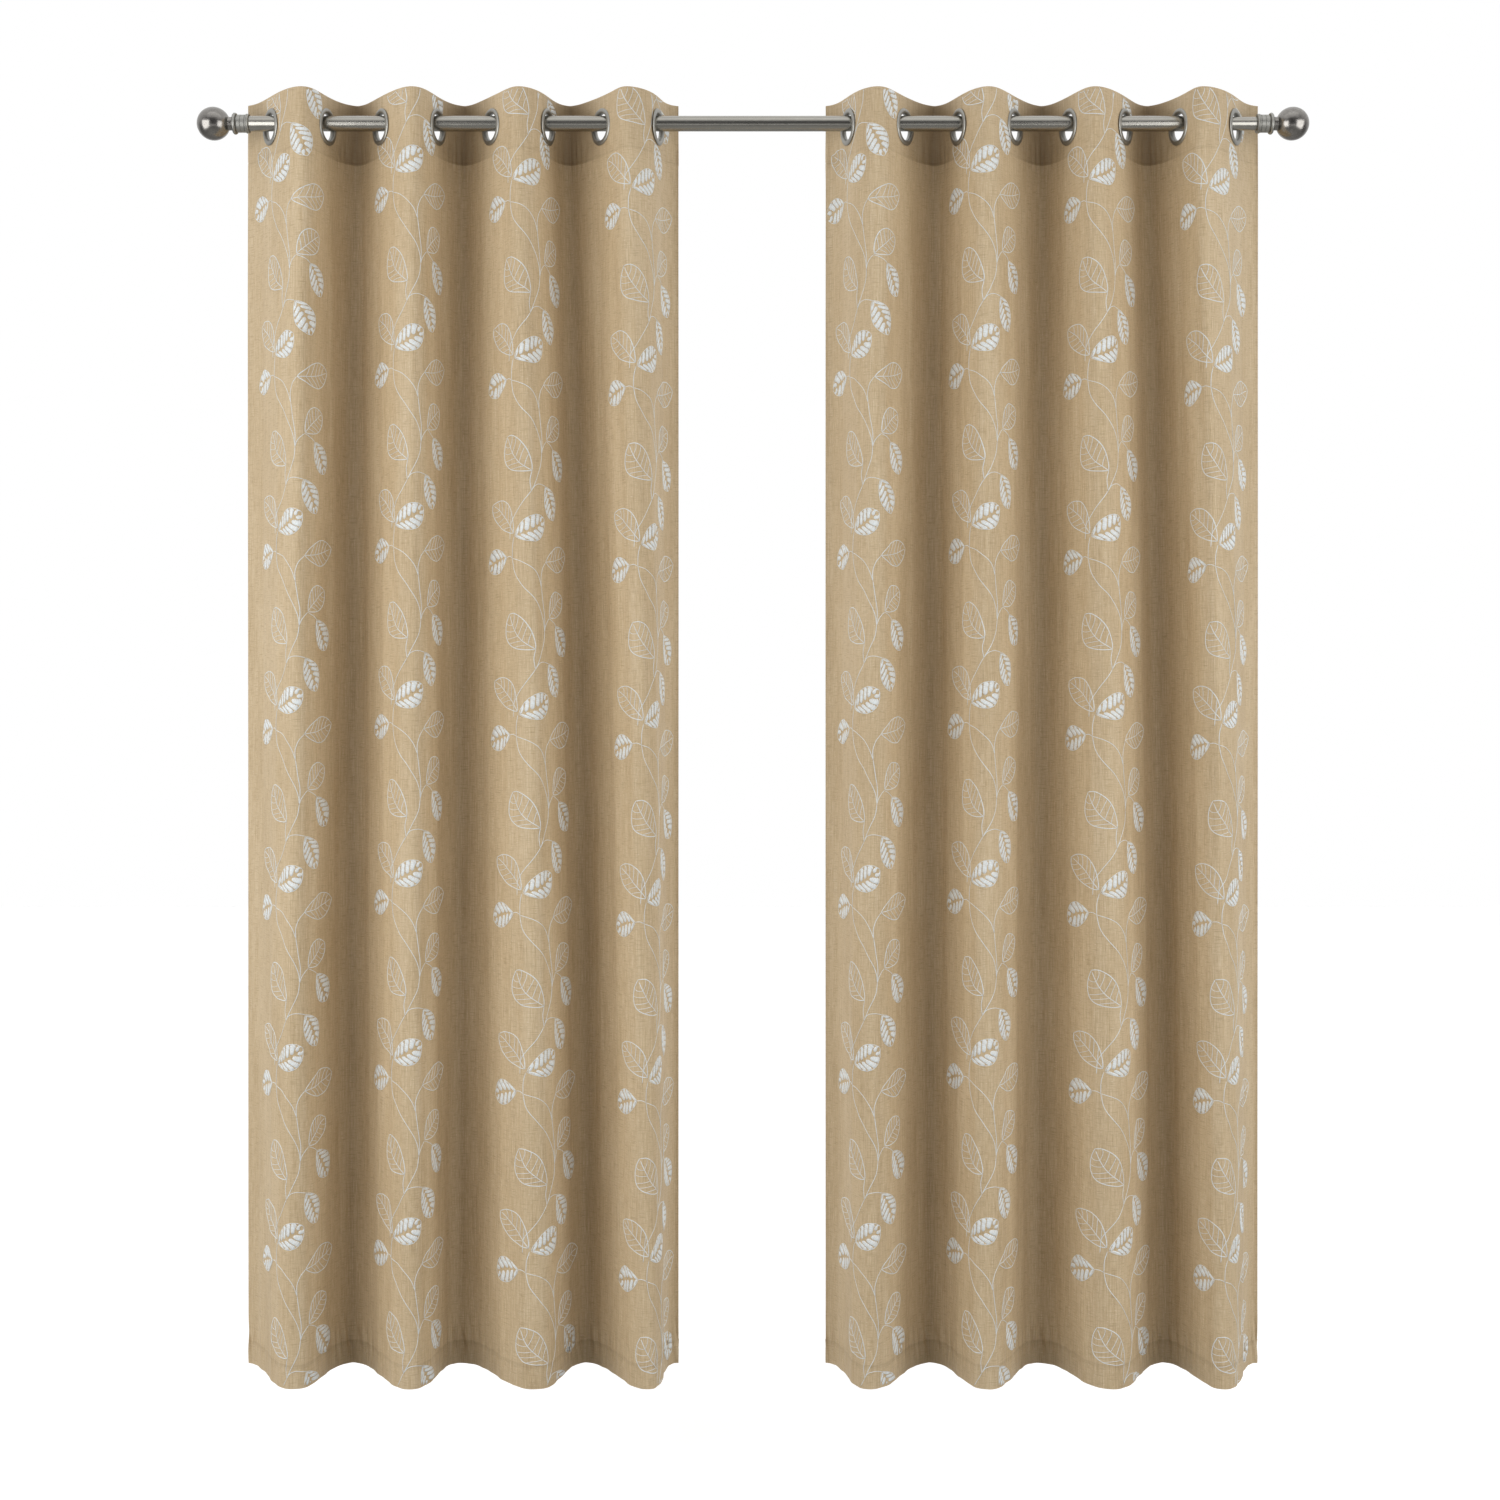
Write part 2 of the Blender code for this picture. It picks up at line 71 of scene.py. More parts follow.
# Heights of the cloth's unevenness, in mm: soft ridges, puckers at the two lines of stitches,
# and the pinch in each back fold
RIDGE, HEADER_PUCKER, HEM_PUCKER, PINCH = 0.62, 1.1, 2.2, 2.0
RING_REACH = 0.032             # no unevenness in the cloth this near a grommet's middle
RING_FADE = 0.014              # and it grows to full height over this distance
SEAM_STEP = 1e-4               # step in phase for the slopes of the fold curve
SMALL_ACROSS = 0.002           # steps in phase and height for the cloth's normals
SMALL_UP = 0.0004
EDGE_PHASE = {"left": (-0.44, 7.5), "right": (-0.48, 7.5)}
HEM_GROWTH = 0.08              # folds are this much deeper at the bottom
HEM_SQUARING = 0.05            # and squarer
# How far each fold leans aside, in mm, from the first back fold to the last
ASIDE_TOP = {
    "left": (0, 3.8, 6.6, 1.3, 4.8, -7.0, 0, -13.0, 0),
    "right": (0, 6.7, 2.5, 4.2, 0.7, -4.2, -4.4, -10.3, 0),
}
ASIDE_HEM = {
    "left": (0, -9.2, -1.4, 0, 0, 19.3, 27.5, 20.6, 0),
    "right": (0, -6.1, -5.3, 3.3, -3.9, 22.4, 23.1, 23.7, 0),
}


def vertices(node):
    """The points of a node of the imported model."""
    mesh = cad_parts[node].data
    points = np.zeros(len(mesh.vertices) * 3, np.float32)
    mesh.vertices.foreach_get("co", points)
    return points.reshape(-1, 3).astype(float)


def grommet_frame(side, number):
    """A grommet's middle and its axis towards the room: the axis is the direction in which
    the face ring's points spread the least, and the middle lies halfway between the rims of
    the face ring and the backing ring."""
    face = vertices(f"{side}_grommet_front_{number}")
    back = vertices(f"{side}_grommet_back_{number}")
    centre = face.mean(0)
    axis = np.linalg.eigh(np.cov((face - centre).T))[1][:, 0]
    axis = -axis if axis[1] > 0 else axis
    rims = []
    for points in (face, back):
        along = (points - centre) @ axis
        reach = np.linalg.norm(points - centre - along[:, None] * axis, axis=1)
        rims.append(along[reach > reach.max() * 0.985].mean())
    return centre + axis * sum(rims) / 2, axis


def between(phase, values):
    """Values given at the folds, phase -0.5, 0.5 and so on, joined by a cubic through them."""
    v = np.asarray(values) * MM
    i = np.clip(np.floor(phase + 0.5).astype(int), 0, len(v) - 2)
    u = phase + 0.5 - i
    a, b, c = v[np.clip(i - 1, 0, None)], v[i], v[i + 1]
    d = v[np.clip(i + 2, None, len(v) - 1)]
    bend = 2 * a - 5 * b + 4 * c - d + u * (3 * (b - c) + d - a)
    return b + u * (c - a + u * bend) / 2


class Panel:
    """One curtain.  A place on it is a phase, counted in half waves from its leftmost
    grommet, and a height."""

    def __init__(self, side):
        self.side = side
        self.grommets = {n: grommet_frame(side, n) for n in range(1, GROMMETS + 1)}
        self.order = sorted(self.grommets, key=lambda n: self.grommets[n][0][0])
        centres = np.array([self.grommets[n][0] for n in self.order])
        axes = np.array([self.grommets[n][1] for n in self.order])
        self.start = centres[0][0]
        self.rod_y, self.ring_z = centres[:, 1].mean(), centres[:, 2].mean()
        self.pitch = (centres[-1][0] - centres[0][0]) / (GROMMETS - 1)
        run = -axes[:, 1] / np.abs(axes[:, 0])
        slope = 2 * self.pitch / (run[::2].mean() + run[1::2].mean())
        self.depth = slope / math.pi
        self.lean = (run[::2].mean() - run[1::2].mean()) / 2
        low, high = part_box(side + "_panel_cloth")
        self.top, self.bottom = high[2], low[2]
        self.header = self.top - HEADER_DEPTH
        self.first, self.last = EDGE_PHASE[side]
        phase = np.linspace(-1, GROMMETS, 9001)
        x, y = self.plan(phase, np.full(phase.shape, self.top))
        step = np.hypot(np.diff(x), np.diff(y))
        self.arc_phase = phase
        self.arc_length = np.concatenate([[0], np.cumsum(step)])
        self.arc_length -= np.interp(self.first, phase, self.arc_length)
        self.width = self.arc(self.last)

    def arc(self, phase):
        """Distance across the flat cloth, from its left edge."""
        return np.interp(phase, self.arc_phase, self.arc_length)

    def phase(self, arc):
        """The phase at a distance across the flat cloth."""
        return np.interp(arc, self.arc_length, self.arc_phase)

    def seam_x(self, fold):
        """Where a grommet's middle is along the rod; the strips meet there."""
        return self.start + self.pitch * fold

    def plan(self, phase, height):
        """x runs with the phase and y is a sine of it, squarer and deeper towards the hem,
        each fold shifted aside by its own amount."""
        fall = np.clip((self.header - height) / (self.header - self.bottom), 0, 1)
        settle = fall * (2 - fall)
        square = HEM_SQUARING * fall
        turn = np.pi * phase
        wave = (np.sin(turn) + square * np.sin(3 * turn)) / (1 - square)
        aside = (1 - settle) * between(phase, ASIDE_TOP[self.side]) * np.sin(turn) ** 2
        aside = aside + settle * between(phase, ASIDE_HEM[self.side])
        x = self.start + self.pitch * phase + self.lean * self.depth * wave + aside
        return x, self.rod_y - self.depth * (1 + HEM_GROWTH * fall) * wave

    def relief(self, phase, height):
        """Small unevenness along the cloth's normal: soft ridges down the cloth, puckers and a
        pinch in the header's back folds, and slanting puckers over the hem stitch, as sines
        faded by bell curves; nothing round the grommets."""
        across = self.arc(phase)
        inward = (0.5 - 0.5 * np.sin(np.pi * phase)) ** 2
        below = np.clip((self.header - height) / 0.25, 0, 1)
        ridges = 1.0 * np.sin(across / 0.0079 + 1.6 * np.sin(1.9 * height) + 0.6)
        ridges += 0.7 * np.sin(across / 0.0046 + 2.3 * np.sin(1.3 * height + 1.0))
        ridges += 1.1 * np.sin(across / 0.0142 + 1.1 * height + 2.0)
        off_stitch = (height - self.header - 0.012) / 0.030
        puckers = np.sin(across / 0.0021 + 1.4 * np.sin(across / 0.011) + 9 * height)
        puckers = HEADER_PUCKER * inward * np.exp(-off_stitch ** 2) * puckers
        off_hem = (height - self.bottom - HEM_DEPTH) / 0.026
        slant = np.abs(np.mod(phase + 0.5, 2) - 1) - 0.5
        slant = 150 * slant * (height - self.bottom)
        hem = np.sin(across / 0.0026 + slant + np.sin(across / 0.021))
        hem = HEM_PUCKER * np.exp(-off_hem ** 2) * hem * (0.20 + 0.80 * inward)
        pinch = np.exp(-(np.abs(np.mod(phase - 0.5, 2) - 1) / 0.055) ** 2)
        held = np.exp(-((height - self.top + 0.03) / 0.06) ** 2)
        held = held + 0.8 * np.exp(-((height - self.bottom - 0.03) / 0.03) ** 2)
        pinch = -PINCH * pinch * held
        fold = np.round(phase)
        aside = self.arc(phase) - self.arc(fold)
        away = np.hypot(aside, height - self.ring_z)
        inside = (fold >= 0) & (fold < GROMMETS)
        free = np.where(inside, np.clip((away - RING_REACH) / RING_FADE, 0, 1), 1)
        return MM * (below * ridges * RIDGE + puckers + hem + pinch) * free

    def place(self, phase, height, offset):
        """Points on the cloth and the normals there.  The normal is the cross product of
        small steps across and down, taken after the relief."""
        def bare(p, h):
            x, y = self.plan(p, h)
            return np.stack([x, y, h], -1)

        def uneven(p, h):
            along = bare(p + SEAM_STEP, h)[..., :2] - bare(p - SEAM_STEP, h)[..., :2]
            normal = np.stack([along[..., 1], -along[..., 0], np.zeros(h.shape)], -1)
            normal /= np.linalg.norm(normal, axis=-1, keepdims=True)
            return bare(p, h) + normal * self.relief(p, h)[..., None]

        across = uneven(phase + SMALL_ACROSS, height) - uneven(phase - SMALL_ACROSS, height)
        up = uneven(phase, height + SMALL_UP) - uneven(phase, height - SMALL_UP)
        normal = np.cross(across, up)
        normal /= np.linalg.norm(normal, axis=-1, keepdims=True)
        return uneven(phase, height) + normal * offset[..., None], normal

    def seam_phase(self, fold, height):
        """The phase at which the cloth crosses a grommet's x, by Newton steps."""
        phase = np.full(height.shape, float(fold))
        for _ in range(6):
            x = self.plan(phase, height)[0]
            ahead, behind = (self.plan(phase + d, height)[0] for d in (SEAM_STEP, -SEAM_STEP))
            slope = (ahead - behind) / (2 * SEAM_STEP)
            phase = phase + (self.seam_x(fold) - x) / slope
        return phase

    def body(self, fold):
        """The frame's body that carries a grommet: the outermost one is the panel's own."""
        number = self.order[fold]
        return f"{self.side}_panel" if number == 1 else f"{self.side}_grommet_{number}"


# ---------------------------------------------------------------- meshes
def new_mesh(name, points, faces):
    """A mesh from points and arrays of faces, one array for each number of corners."""
    mesh = bpy.data.meshes.new(name)
    corners = np.concatenate([f.ravel() for f in faces]).astype(np.int32)
    sizes = np.concatenate([np.full(len(f), f.shape[1]) for f in faces])
    starts = np.concatenate([[0], np.cumsum(sizes)[:-1]]).astype(np.int32)
    mesh.vertices.add(len(points))
    mesh.vertices.foreach_set("co", points.astype(np.float32).ravel())
    mesh.loops.add(len(corners))
    mesh.loops.foreach_set("vertex_index", corners)
    mesh.polygons.add(len(starts))
    mesh.polygons.foreach_set("loop_start", starts)
    mesh.update(calc_edges=True)
    return mesh, corners


def new_piece(name, mesh, material):
    piece = bpy.data.objects.new(name, mesh)
    bpy.context.scene.collection.objects.link(piece)
    mesh.materials.append(material)
    return piece


def set_uv(mesh, corners, flat):
    layer = mesh.uv_layers.new(name="flat")
    layer.data.foreach_set("uv", flat[corners].astype(np.float32).ravel())


def outward(points, faces):
    """The faces turned so that the volume that they enclose is positive."""
    volume = sum(
        float((points[f[:, 0]] * np.cross(points[f[:, i]], points[f[:, i + 1]])).sum())
        for f in faces
        for i in range(1, f.shape[1] - 1)
    )
    return faces if volume > 0 else [f[:, ::-1] for f in faces]


def turned(name, profile, centre, axis, material, steps=64):
    """A profile of (radius, distance) carried round an axis: centre + axis * distance +
    radius * (side * cos + up * sin).  It closes on itself, or at a pole at each end."""
    profile = np.asarray(profile, float)
    axis = np.asarray(axis, float) / np.linalg.norm(axis)
    up = np.array([0.0, 0.0, 1.0])
    side = np.cross(up, axis)
    side /= np.linalg.norm(side)
    up = np.cross(axis, side)
    poles = profile[0, 0] == 0
    rings = profile[1:-1] if poles else profile
    angle = np.linspace(0, 2 * np.pi, steps, endpoint=False)
    spoke = np.cos(angle)[:, None] * side + np.sin(angle)[:, None] * up
    points = centre + rings[:, 1, None, None] * axis + rings[:, 0, None, None] * spoke
    points = points.reshape(-1, 3)
    index = np.arange(len(points)).reshape(len(rings), steps)
    after = np.roll(index, -1, 1)
    if poles:
        quads = np.stack([index[:-1], after[:-1], after[1:], index[1:]], -1).reshape(-1, 4)
        tips = centre + profile[[0, -1], 1, None] * axis
        start, end = len(points), len(points) + 1
        points = np.concatenate([points, tips])
        fans = np.concatenate([
            np.stack([np.full(steps, start), after[0], index[0]], -1),
            np.stack([np.full(steps, end), index[-1], after[-1]], -1),
        ])
        faces = [quads, fans]
    else:
        below, below_after = np.roll(index, -1, 0), np.roll(after, -1, 0)
        faces = [np.stack([index, after, below_after, below], -1).reshape(-1, 4)]
    faces = outward(points, faces)
    mesh, corners = new_mesh(name, points, faces)
    mesh.shade_smooth()
    mesh.set_sharp_from_angle(angle=math.radians(32))
    return new_piece(name, mesh, material)


def arc_points(radius, centre_radius, centre_distance, start, end, steps):
    """Points of a profile on a circle, angles in degrees from the outward radius."""
    angle = np.radians(np.linspace(start, end, steps))
    return list(zip(centre_radius + radius * np.cos(angle),
                    centre_distance + radius * np.sin(angle)))


FRONT, BACK, WALL = range(3)


def shell(front, back, kept):
    """Two grids of points joined into one closed skin, with walls along each edge between a
    kept cell and a dropped one.  Returns the points, the faces and which part each is."""
    rows, columns = front.shape[:2]
    index = np.arange(rows * columns).reshape(rows, columns)
    cell = np.stack([index[:-1, :-1], index[1:, :-1], index[1:, 1:], index[:-1, 1:]], -1)
    cell = cell[kept]
    shift = rows * columns
    padded = np.pad(kept, 1)
    walls = []
    for axis, (a, b) in ((0, (index[:, :-1], index[:, 1:])), (1, (index[:-1], index[1:]))):
        low = padded[:-1, 1:-1] if axis == 0 else padded[1:-1, :-1]
        high = padded[1:, 1:-1] if axis == 0 else padded[1:-1, 1:]
        opens, closes = high & ~low, low & ~high
        if axis:
            opens, closes = closes, opens
        walls.append(np.stack([a[opens], b[opens], b[opens] + shift, a[opens] + shift], -1))
        walls.append(np.stack([b[closes], a[closes], a[closes] + shift, b[closes] + shift], -1))
    faces = np.concatenate([cell, cell[:, ::-1] + shift, *walls])
    part = np.repeat([FRONT, BACK, WALL], [len(cell), len(cell), len(faces) - 2 * len(cell)])
    return np.concatenate([front.reshape(-1, 3), back.reshape(-1, 3)]), faces, part


def face_normals(points, faces):
    """The cross product of a four-cornered face's two diagonals."""
    a, b, c, d = (points[faces[:, i]] for i in range(4))
    normal = np.cross(c - a, d - b)
    return normal / np.maximum(np.linalg.norm(normal, axis=1, keepdims=True), 1e-12)


# ---------------------------------------------------------------- cloth pieces
def painted_shade(panel, phase, height):
    """Painted shade, 0 to 1, that darkens the cloth's colour: over the doubled header, which lets
    less light through, most of all in its back folds, a little over the doubled hem, and in the
    pressed creases of the lines of stitches over the header's end and the hem."""
    # Painted shade in the back folds, strongest where the cloth turns deepest
    inward = (0.5 - 0.5 * np.sin(np.pi * phase)) ** 3
    inward = np.where((phase > 0) & (phase < GROMMETS - 1), inward, 0)
    header_shade = np.clip((height - panel.header + 0.4 * MM) / (0.8 * MM), 0, 1)
    stitch_shade = np.exp(-((height - panel.header - 3.4 * MM) / (1.1 * MM)) ** 2)
    stitch_shade = stitch_shade + np.exp(-((height - panel.bottom - HEM_DEPTH + 1.6 * MM) / (1.1 * MM)) ** 2)
    hem_shade = np.clip((panel.bottom + HEM_DEPTH - height) / (0.8 * MM), 0, 1)
    value = header_shade * (0.06 + 0.66 * inward) + 0.22 * stitch_shade + hem_shade * (0.02 + 0.14 * inward)
    return np.clip(value, 0, 1)


def row_heights(panel):
    """Heights of the grid's rows, top to bottom: even steps that carry the grommet holes,
    close pairs at the turned edges, and longer steps down the panel."""
    step = (panel.top - panel.ring_z) / (2 * CELLS_BESIDE_HOLE)
    header = [panel.ring_z + step * k for k in range(-7, 8)]
    edges = [panel.top, panel.top - 0.4 * MM, panel.top - 1.4 * MM]
    edges += [panel.header + d * MM for d in (6, 4, 2, 0.4, -0.4)]
    hem = panel.bottom + HEM_DEPTH
    edges += [hem + d * MM for d in (2, 0.4, -0.4, -2)]
    edges += [panel.bottom + d * MM for d in (30, 20, 10, 2, 0.5, 0)]
    count = round((panel.header - hem) / ROW_STEP)
    body = np.linspace(panel.header - 4 * MM, hem + 6 * MM, count)
    return np.array(sorted({round(float(h), 6) for h in [*header, *edges, *body]}, reverse=True))


def face_offset(panel, height):
    """The cloth's face before the middle of the header: level, rounded over at the top, and
    pulled in a little by each line of stitches."""
    drop = np.clip(1 - (panel.top - height) / (1.4 * MM), 0, 1)
    offset = FACE - 1.1 * MM * drop ** 2
    for stitch in (panel.header + 4 * MM, panel.bottom + HEM_DEPTH - 2 * MM):
        offset = offset - 0.60 * MM * np.exp(-((height - stitch) / (1.5 * MM)) ** 2)
    rise = np.clip(1 - (height - panel.bottom) / (1.0 * MM), 0, 1)
    return offset - 0.4 * MM * rise


def back_offset(panel, height, across):
    """The cloth's back: one ply, with the header, the hem and the side hems thicker."""
    offset = np.full(height.shape, FACE - PLY)
    side = np.minimum(across, panel.width - across) < SIDE_HEM
    offset = np.where(side, offset - PLY, offset)
    offset = np.where(height < panel.bottom + HEM_DEPTH, offset - PLY * 1.25, offset)
    drop = np.clip(1 - (panel.top - height) / (1.4 * MM), 0, 1)
    return np.where(height > panel.header, -FACE + 1.1 * MM * drop ** 2, offset)


def round_holes(panel, phase, height):
    """Moves grid points near a grommet from squares to circles: a point at m times the
    square's half side goes to m times the circle's radius in the same direction, fading
    out from m = 1 to m = 2.  Also gives m."""
    half = (panel.top - panel.ring_z) / 2
    fold = np.clip(np.round(phase), 0, GROMMETS - 1)
    beside = panel.arc(phase) - panel.arc(fold)
    cells = CELLS_BESIDE_HOLE / COLUMNS_PER_FOLD
    half_across = np.abs(panel.arc(fold + np.sign(beside) * cells) - panel.arc(fold))
    above = height - panel.ring_z
    m = np.maximum(np.abs(beside) / np.maximum(half_across, 1e-9), np.abs(above) / half)
    reach = np.maximum(np.hypot(beside, above), 1e-9)
    share = np.clip(2 - m, 0, 1)
    share = share * share * (3 - 2 * share)
    scale = share * HOLE_CUT * m / reach + (1 - share)
    near = m < 2
    moved = panel.phase(panel.arc(fold) + beside * scale)
    return np.where(near, moved, phase), np.where(near, panel.ring_z + above * scale, height), m


def cloth_strip(panel, start, end, material):
    """One strip of a panel between two phases, which are grommets or the panel's edge."""
    heights = row_heights(panel)
    columns = max(2, round((end - start) * COLUMNS_PER_FOLD))
    share = np.linspace(0, 1, columns + 1)
    if start < 0 or end > GROMMETS - 1:
        hem = panel.phase(SIDE_HEM if start < 0 else panel.width - SIDE_HEM)
        hem = (hem - start) / (end - start)
        share = np.sort(np.append(share, [hem - 0.004, hem + 0.004]))

    def edge(phase):
        whole = float(phase).is_integer()
        return panel.seam_phase(phase, heights) if whole else np.full(heights.shape, phase)

    low, high = edge(start), edge(end)
    phase = low[:, None] + (high - low)[:, None] * share
    height = np.repeat(heights[:, None], len(share), 1)
    phase, height, m = round_holes(panel, phase, height)
    middle = (m[:-1, :-1] + m[1:, :-1] + m[:-1, 1:] + m[1:, 1:]) / 4
    kept = middle >= 1
    across = panel.arc(phase)
    front, normal = panel.place(phase, height, face_offset(panel, height))
    back = panel.place(phase, height, back_offset(panel, height, across))[0]
    points, faces, part = shell(front, back, kept)
    flat = np.stack([across, height], -1).reshape(-1, 2)
    flat = np.concatenate([flat, flat])
    used, faces = np.unique(faces, return_inverse=True)
    faces = faces.reshape(-1, 4)
    points, flat = points[used], flat[used]
    # Painted shade at each point, kept on the mesh as an attribute that darkens the linen's colour
    dark = painted_shade(panel, phase, height).ravel()
    dark = np.concatenate([dark, dark])[used]
    skin = normal.reshape(-1, 3)
    skin = np.concatenate([skin, -skin])[used]
    true = face_normals(points, faces)
    corner = skin[faces]
    turned_away = (corner.mean(1) * true).sum(1) < 0.85
    sharp = (part == WALL) | turned_away
    corner[sharp] = true[sharp][:, None]
    name = f"{panel.side}_cloth_{strip_label(start, end)}"
    mesh, corners = new_mesh(name, points, [faces])
    set_uv(mesh, corners, flat)
    layer = mesh.attributes.new("painted_shade", "FLOAT", "POINT")
    layer.data.foreach_set("value", dark.astype(np.float32))
    mesh.shade_smooth()
    mesh.normals_split_custom_set(corner.reshape(-1, 3))
    return new_piece(name, mesh, material)


def strip_label(start, end):
    if start < 0:
        return "left_edge"
    return "right_edge" if end > GROMMETS - 1 else f"fold_{round(start) + 1}"


def join_to_frame(piece, panel, start, end):
    """An edge strip rides on the body of its outer grommet; a strip between two grommets stays
    fixed where it is made.
    """
    if start < 0:
        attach(piece, panel.body(0))
    elif end > GROMMETS - 1:
        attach(piece, panel.body(GROMMETS - 1))
    else:
        a, b = round(start), round(end)
        panel.body(a)
        panel.body(b)
        panel.seam_x(a)
        panel.seam_x(b)
        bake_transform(piece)


# ---------------------------------------------------------------- embroidery
# The repeat, in mm across and up the flat cloth, from the first fork of a stem beside a
# front fold's middle.
REPEAT_UP = 292.9
STEMS = [
    [(-36, 0), (-40, -16), (-41, -35)],
    [(-41, -35), (-22, -41), (-6, -52), (5, -66), (11.5, -83)],
    [(11.5, -83), (11, -68), (16, -52), (25, -41)],
    [(11.5, -83), (15, -110), (18, -132), (17, -156)],
    [(-41, -35), (-36, -58), (-22, -80), (-6, -100), (8, -122), (15, -140), (17, -156)],
    [(17, -156), (20, -147), (26, -139), (32, -134)],
    [(17, -156), (14, -175), (4, -197), (-7, -218)],
    [(-6, -185), (-9, -201), (-7, -218)],
    [(-7, -218), (0, -209), (12, -206), (27, -209)],
    [(-7, -218), (-20, -238), (-33, -256), (-44, -273), (-47, -296)],
    [(32, -134), (40, -137), (50, -142), (55, -146)],
    [(-41, -35), (-48, -32), (-57, -33)],
]
# Each leaf: where it starts, where its tip is, its width, and how its edge bows aside
OPEN_LEAVES = [
    ((-37, 6), (-97, 55), 44, -0.08),
    ((25, -41), (103, -26), 42, -0.04),
    ((33, -132), (82, -97), 42, 0.05),
    ((-6, -185), (-52, -127), 50, 0.10),
]
FULL_LEAVES = [
    ((-34, 1), (22, 30), 42, -0.06),
    ((-56, -33), (-111, -50), 41, -0.06),
    ((55, -146), (87, -196), 42, 0.05),
    ((27, -209), (54, -264), 40, 0.05),
]
# How far each column stands aside from its fold's middle at the first, third and last rows
COLUMN_ROWS = (0, 2, 6)
COLUMN_ASIDE = ((-44, -13, -4), (-2, 1, -4), (23, 13, 30), (40, 40, 40))
COLUMN_DROP = (9, 0, 19, 33)
FIRST_FORK = -0.0875
THREAD_RISE = 0.45 * MM
STROKE_STEP = 3.0
CUT_AWAY = -9                  # no strip: a stroke leaves these places bare


def smooth_path(points, step=STROKE_STEP):
    """Points joined by a Catmull-Rom curve and spaced evenly."""
    p = np.asarray(points, float)
    padded = np.concatenate([[2 * p[0] - p[1]], p, [2 * p[-1] - p[-2]]])
    t = np.linspace(0, 1, 9)[:, None]
    pieces = []
    for i in range(len(p) - 1):
        a, b, c, d = padded[i:i + 4]
        bend = 2 * a - 5 * b + 4 * c - d + t * (3 * (b - c) + d - a)
        pieces.append(b + t * (c - a + t * bend) / 2)
    fine = np.concatenate(pieces)
    length = np.concatenate([[0], np.cumsum(np.hypot(*np.diff(fine, axis=0).T))])
    count = max(3, round(length[-1] / step) + 1)
    at = np.linspace(0, length[-1], count)
    return np.stack([np.interp(at, length, fine[:, 0]), np.interp(at, length, fine[:, 1])], -1)


def leaf_half(t):
    """A leaf's half width at a share of its length: widest past the middle, round-tipped."""
    return np.sin(np.pi * np.clip(t, 0, 1) ** 1.22) ** 0.66


def leaf_axes(leaf):
    """The function from a share along a leaf and a share across it to a place on the cloth."""
    base, tip, width, bow = leaf
    base, tip = np.array(base, float), np.array(tip, float)
    along = tip - base
    aside = np.array([-along[1], along[0]]) / np.linalg.norm(along)

    def spot(t, s):
        """s is from -1 to 1 across the leaf."""
        t, s = np.asarray(t, float), np.asarray(s, float)
        bend = bow * np.linalg.norm(along) * np.sin(np.pi * t)
        across = bend + s * width / 2 * leaf_half(t)
        return base + t[..., None] * along + across[..., None] * aside

    return spot


def open_leaf(leaf):
    """An outline, a midrib and side veins, as strokes of (points, widths)."""
    spot = leaf_axes(leaf)
    t = np.linspace(0.0, 1, 15)
    strokes = [(smooth_path(spot(t, np.full(t.shape, way))), 1.65) for way in (1, -1)]
    strokes.append((smooth_path(spot(np.linspace(0, 0.95, 7), np.zeros(7))), 1.4))
    for i, start in enumerate(np.linspace(0.16, 0.74, 5)):
        for way in (1, -1):
            reach = start + 0.17 + 0.02 * (i % 2)
            run = np.linspace(0, 1, 4)
            veins = spot(start + (reach - start) * run, way * 0.97 * run ** 0.9)
            strokes.append((smooth_path(veins), 0.9))
    return strokes


def full_leaf(leaf):
    """Satin stitch between the veins: slanting bars a little narrower than their spacing,
    so that the cloth shows between them and along the midrib."""
    spot = leaf_axes(leaf)
    length = np.hypot(*(np.array(leaf[1], float) - leaf[0]))
    bars = max(5, round(length / 10.5))
    spacing = 0.94 / bars
    slant = 0.19
    strokes = []
    for start in 0.01 + spacing * np.arange(bars):
        for way in (1, -1):
            run = np.linspace(0.04, 1, 5)
            reach = np.minimum(start + slant * run + 0.02, 0.992)
            points = spot(reach, way * (0.08 + 0.90 * run))
            ahead = spot(np.minimum(reach + spacing, 1), way * (0.08 + 0.90 * run))
            along = np.gradient(points, axis=0)
            along /= np.linalg.norm(along, axis=1, keepdims=True)
            gap = ahead - points
            clear = np.abs(gap[:, 0] * along[:, 1] - gap[:, 1] * along[:, 0])
            width = np.maximum(clear * 0.87, 0.6)
            path = smooth_path(points)
            widths = np.interp(np.linspace(0, 1, len(path)), np.linspace(0, 1, 5), width)
            strokes.append((path, widths))
    t = np.linspace(0.0, 1, 13)
    return strokes + [(smooth_path(spot(t, np.full(t.shape, way))), 1.1) for way in (1, -1)]


def motif_strokes():
    """Every stroke of one repeat, as a path and its width at each point."""
    strokes = [(smooth_path(stem), 1.2) for stem in STEMS]
    for leaf in OPEN_LEAVES:
        strokes += open_leaf(leaf)
    for leaf in FULL_LEAVES:
        strokes += full_leaf(leaf)
    return [(path, np.broadcast_to(width, (len(path),)).astype(float)) for path, width in strokes]


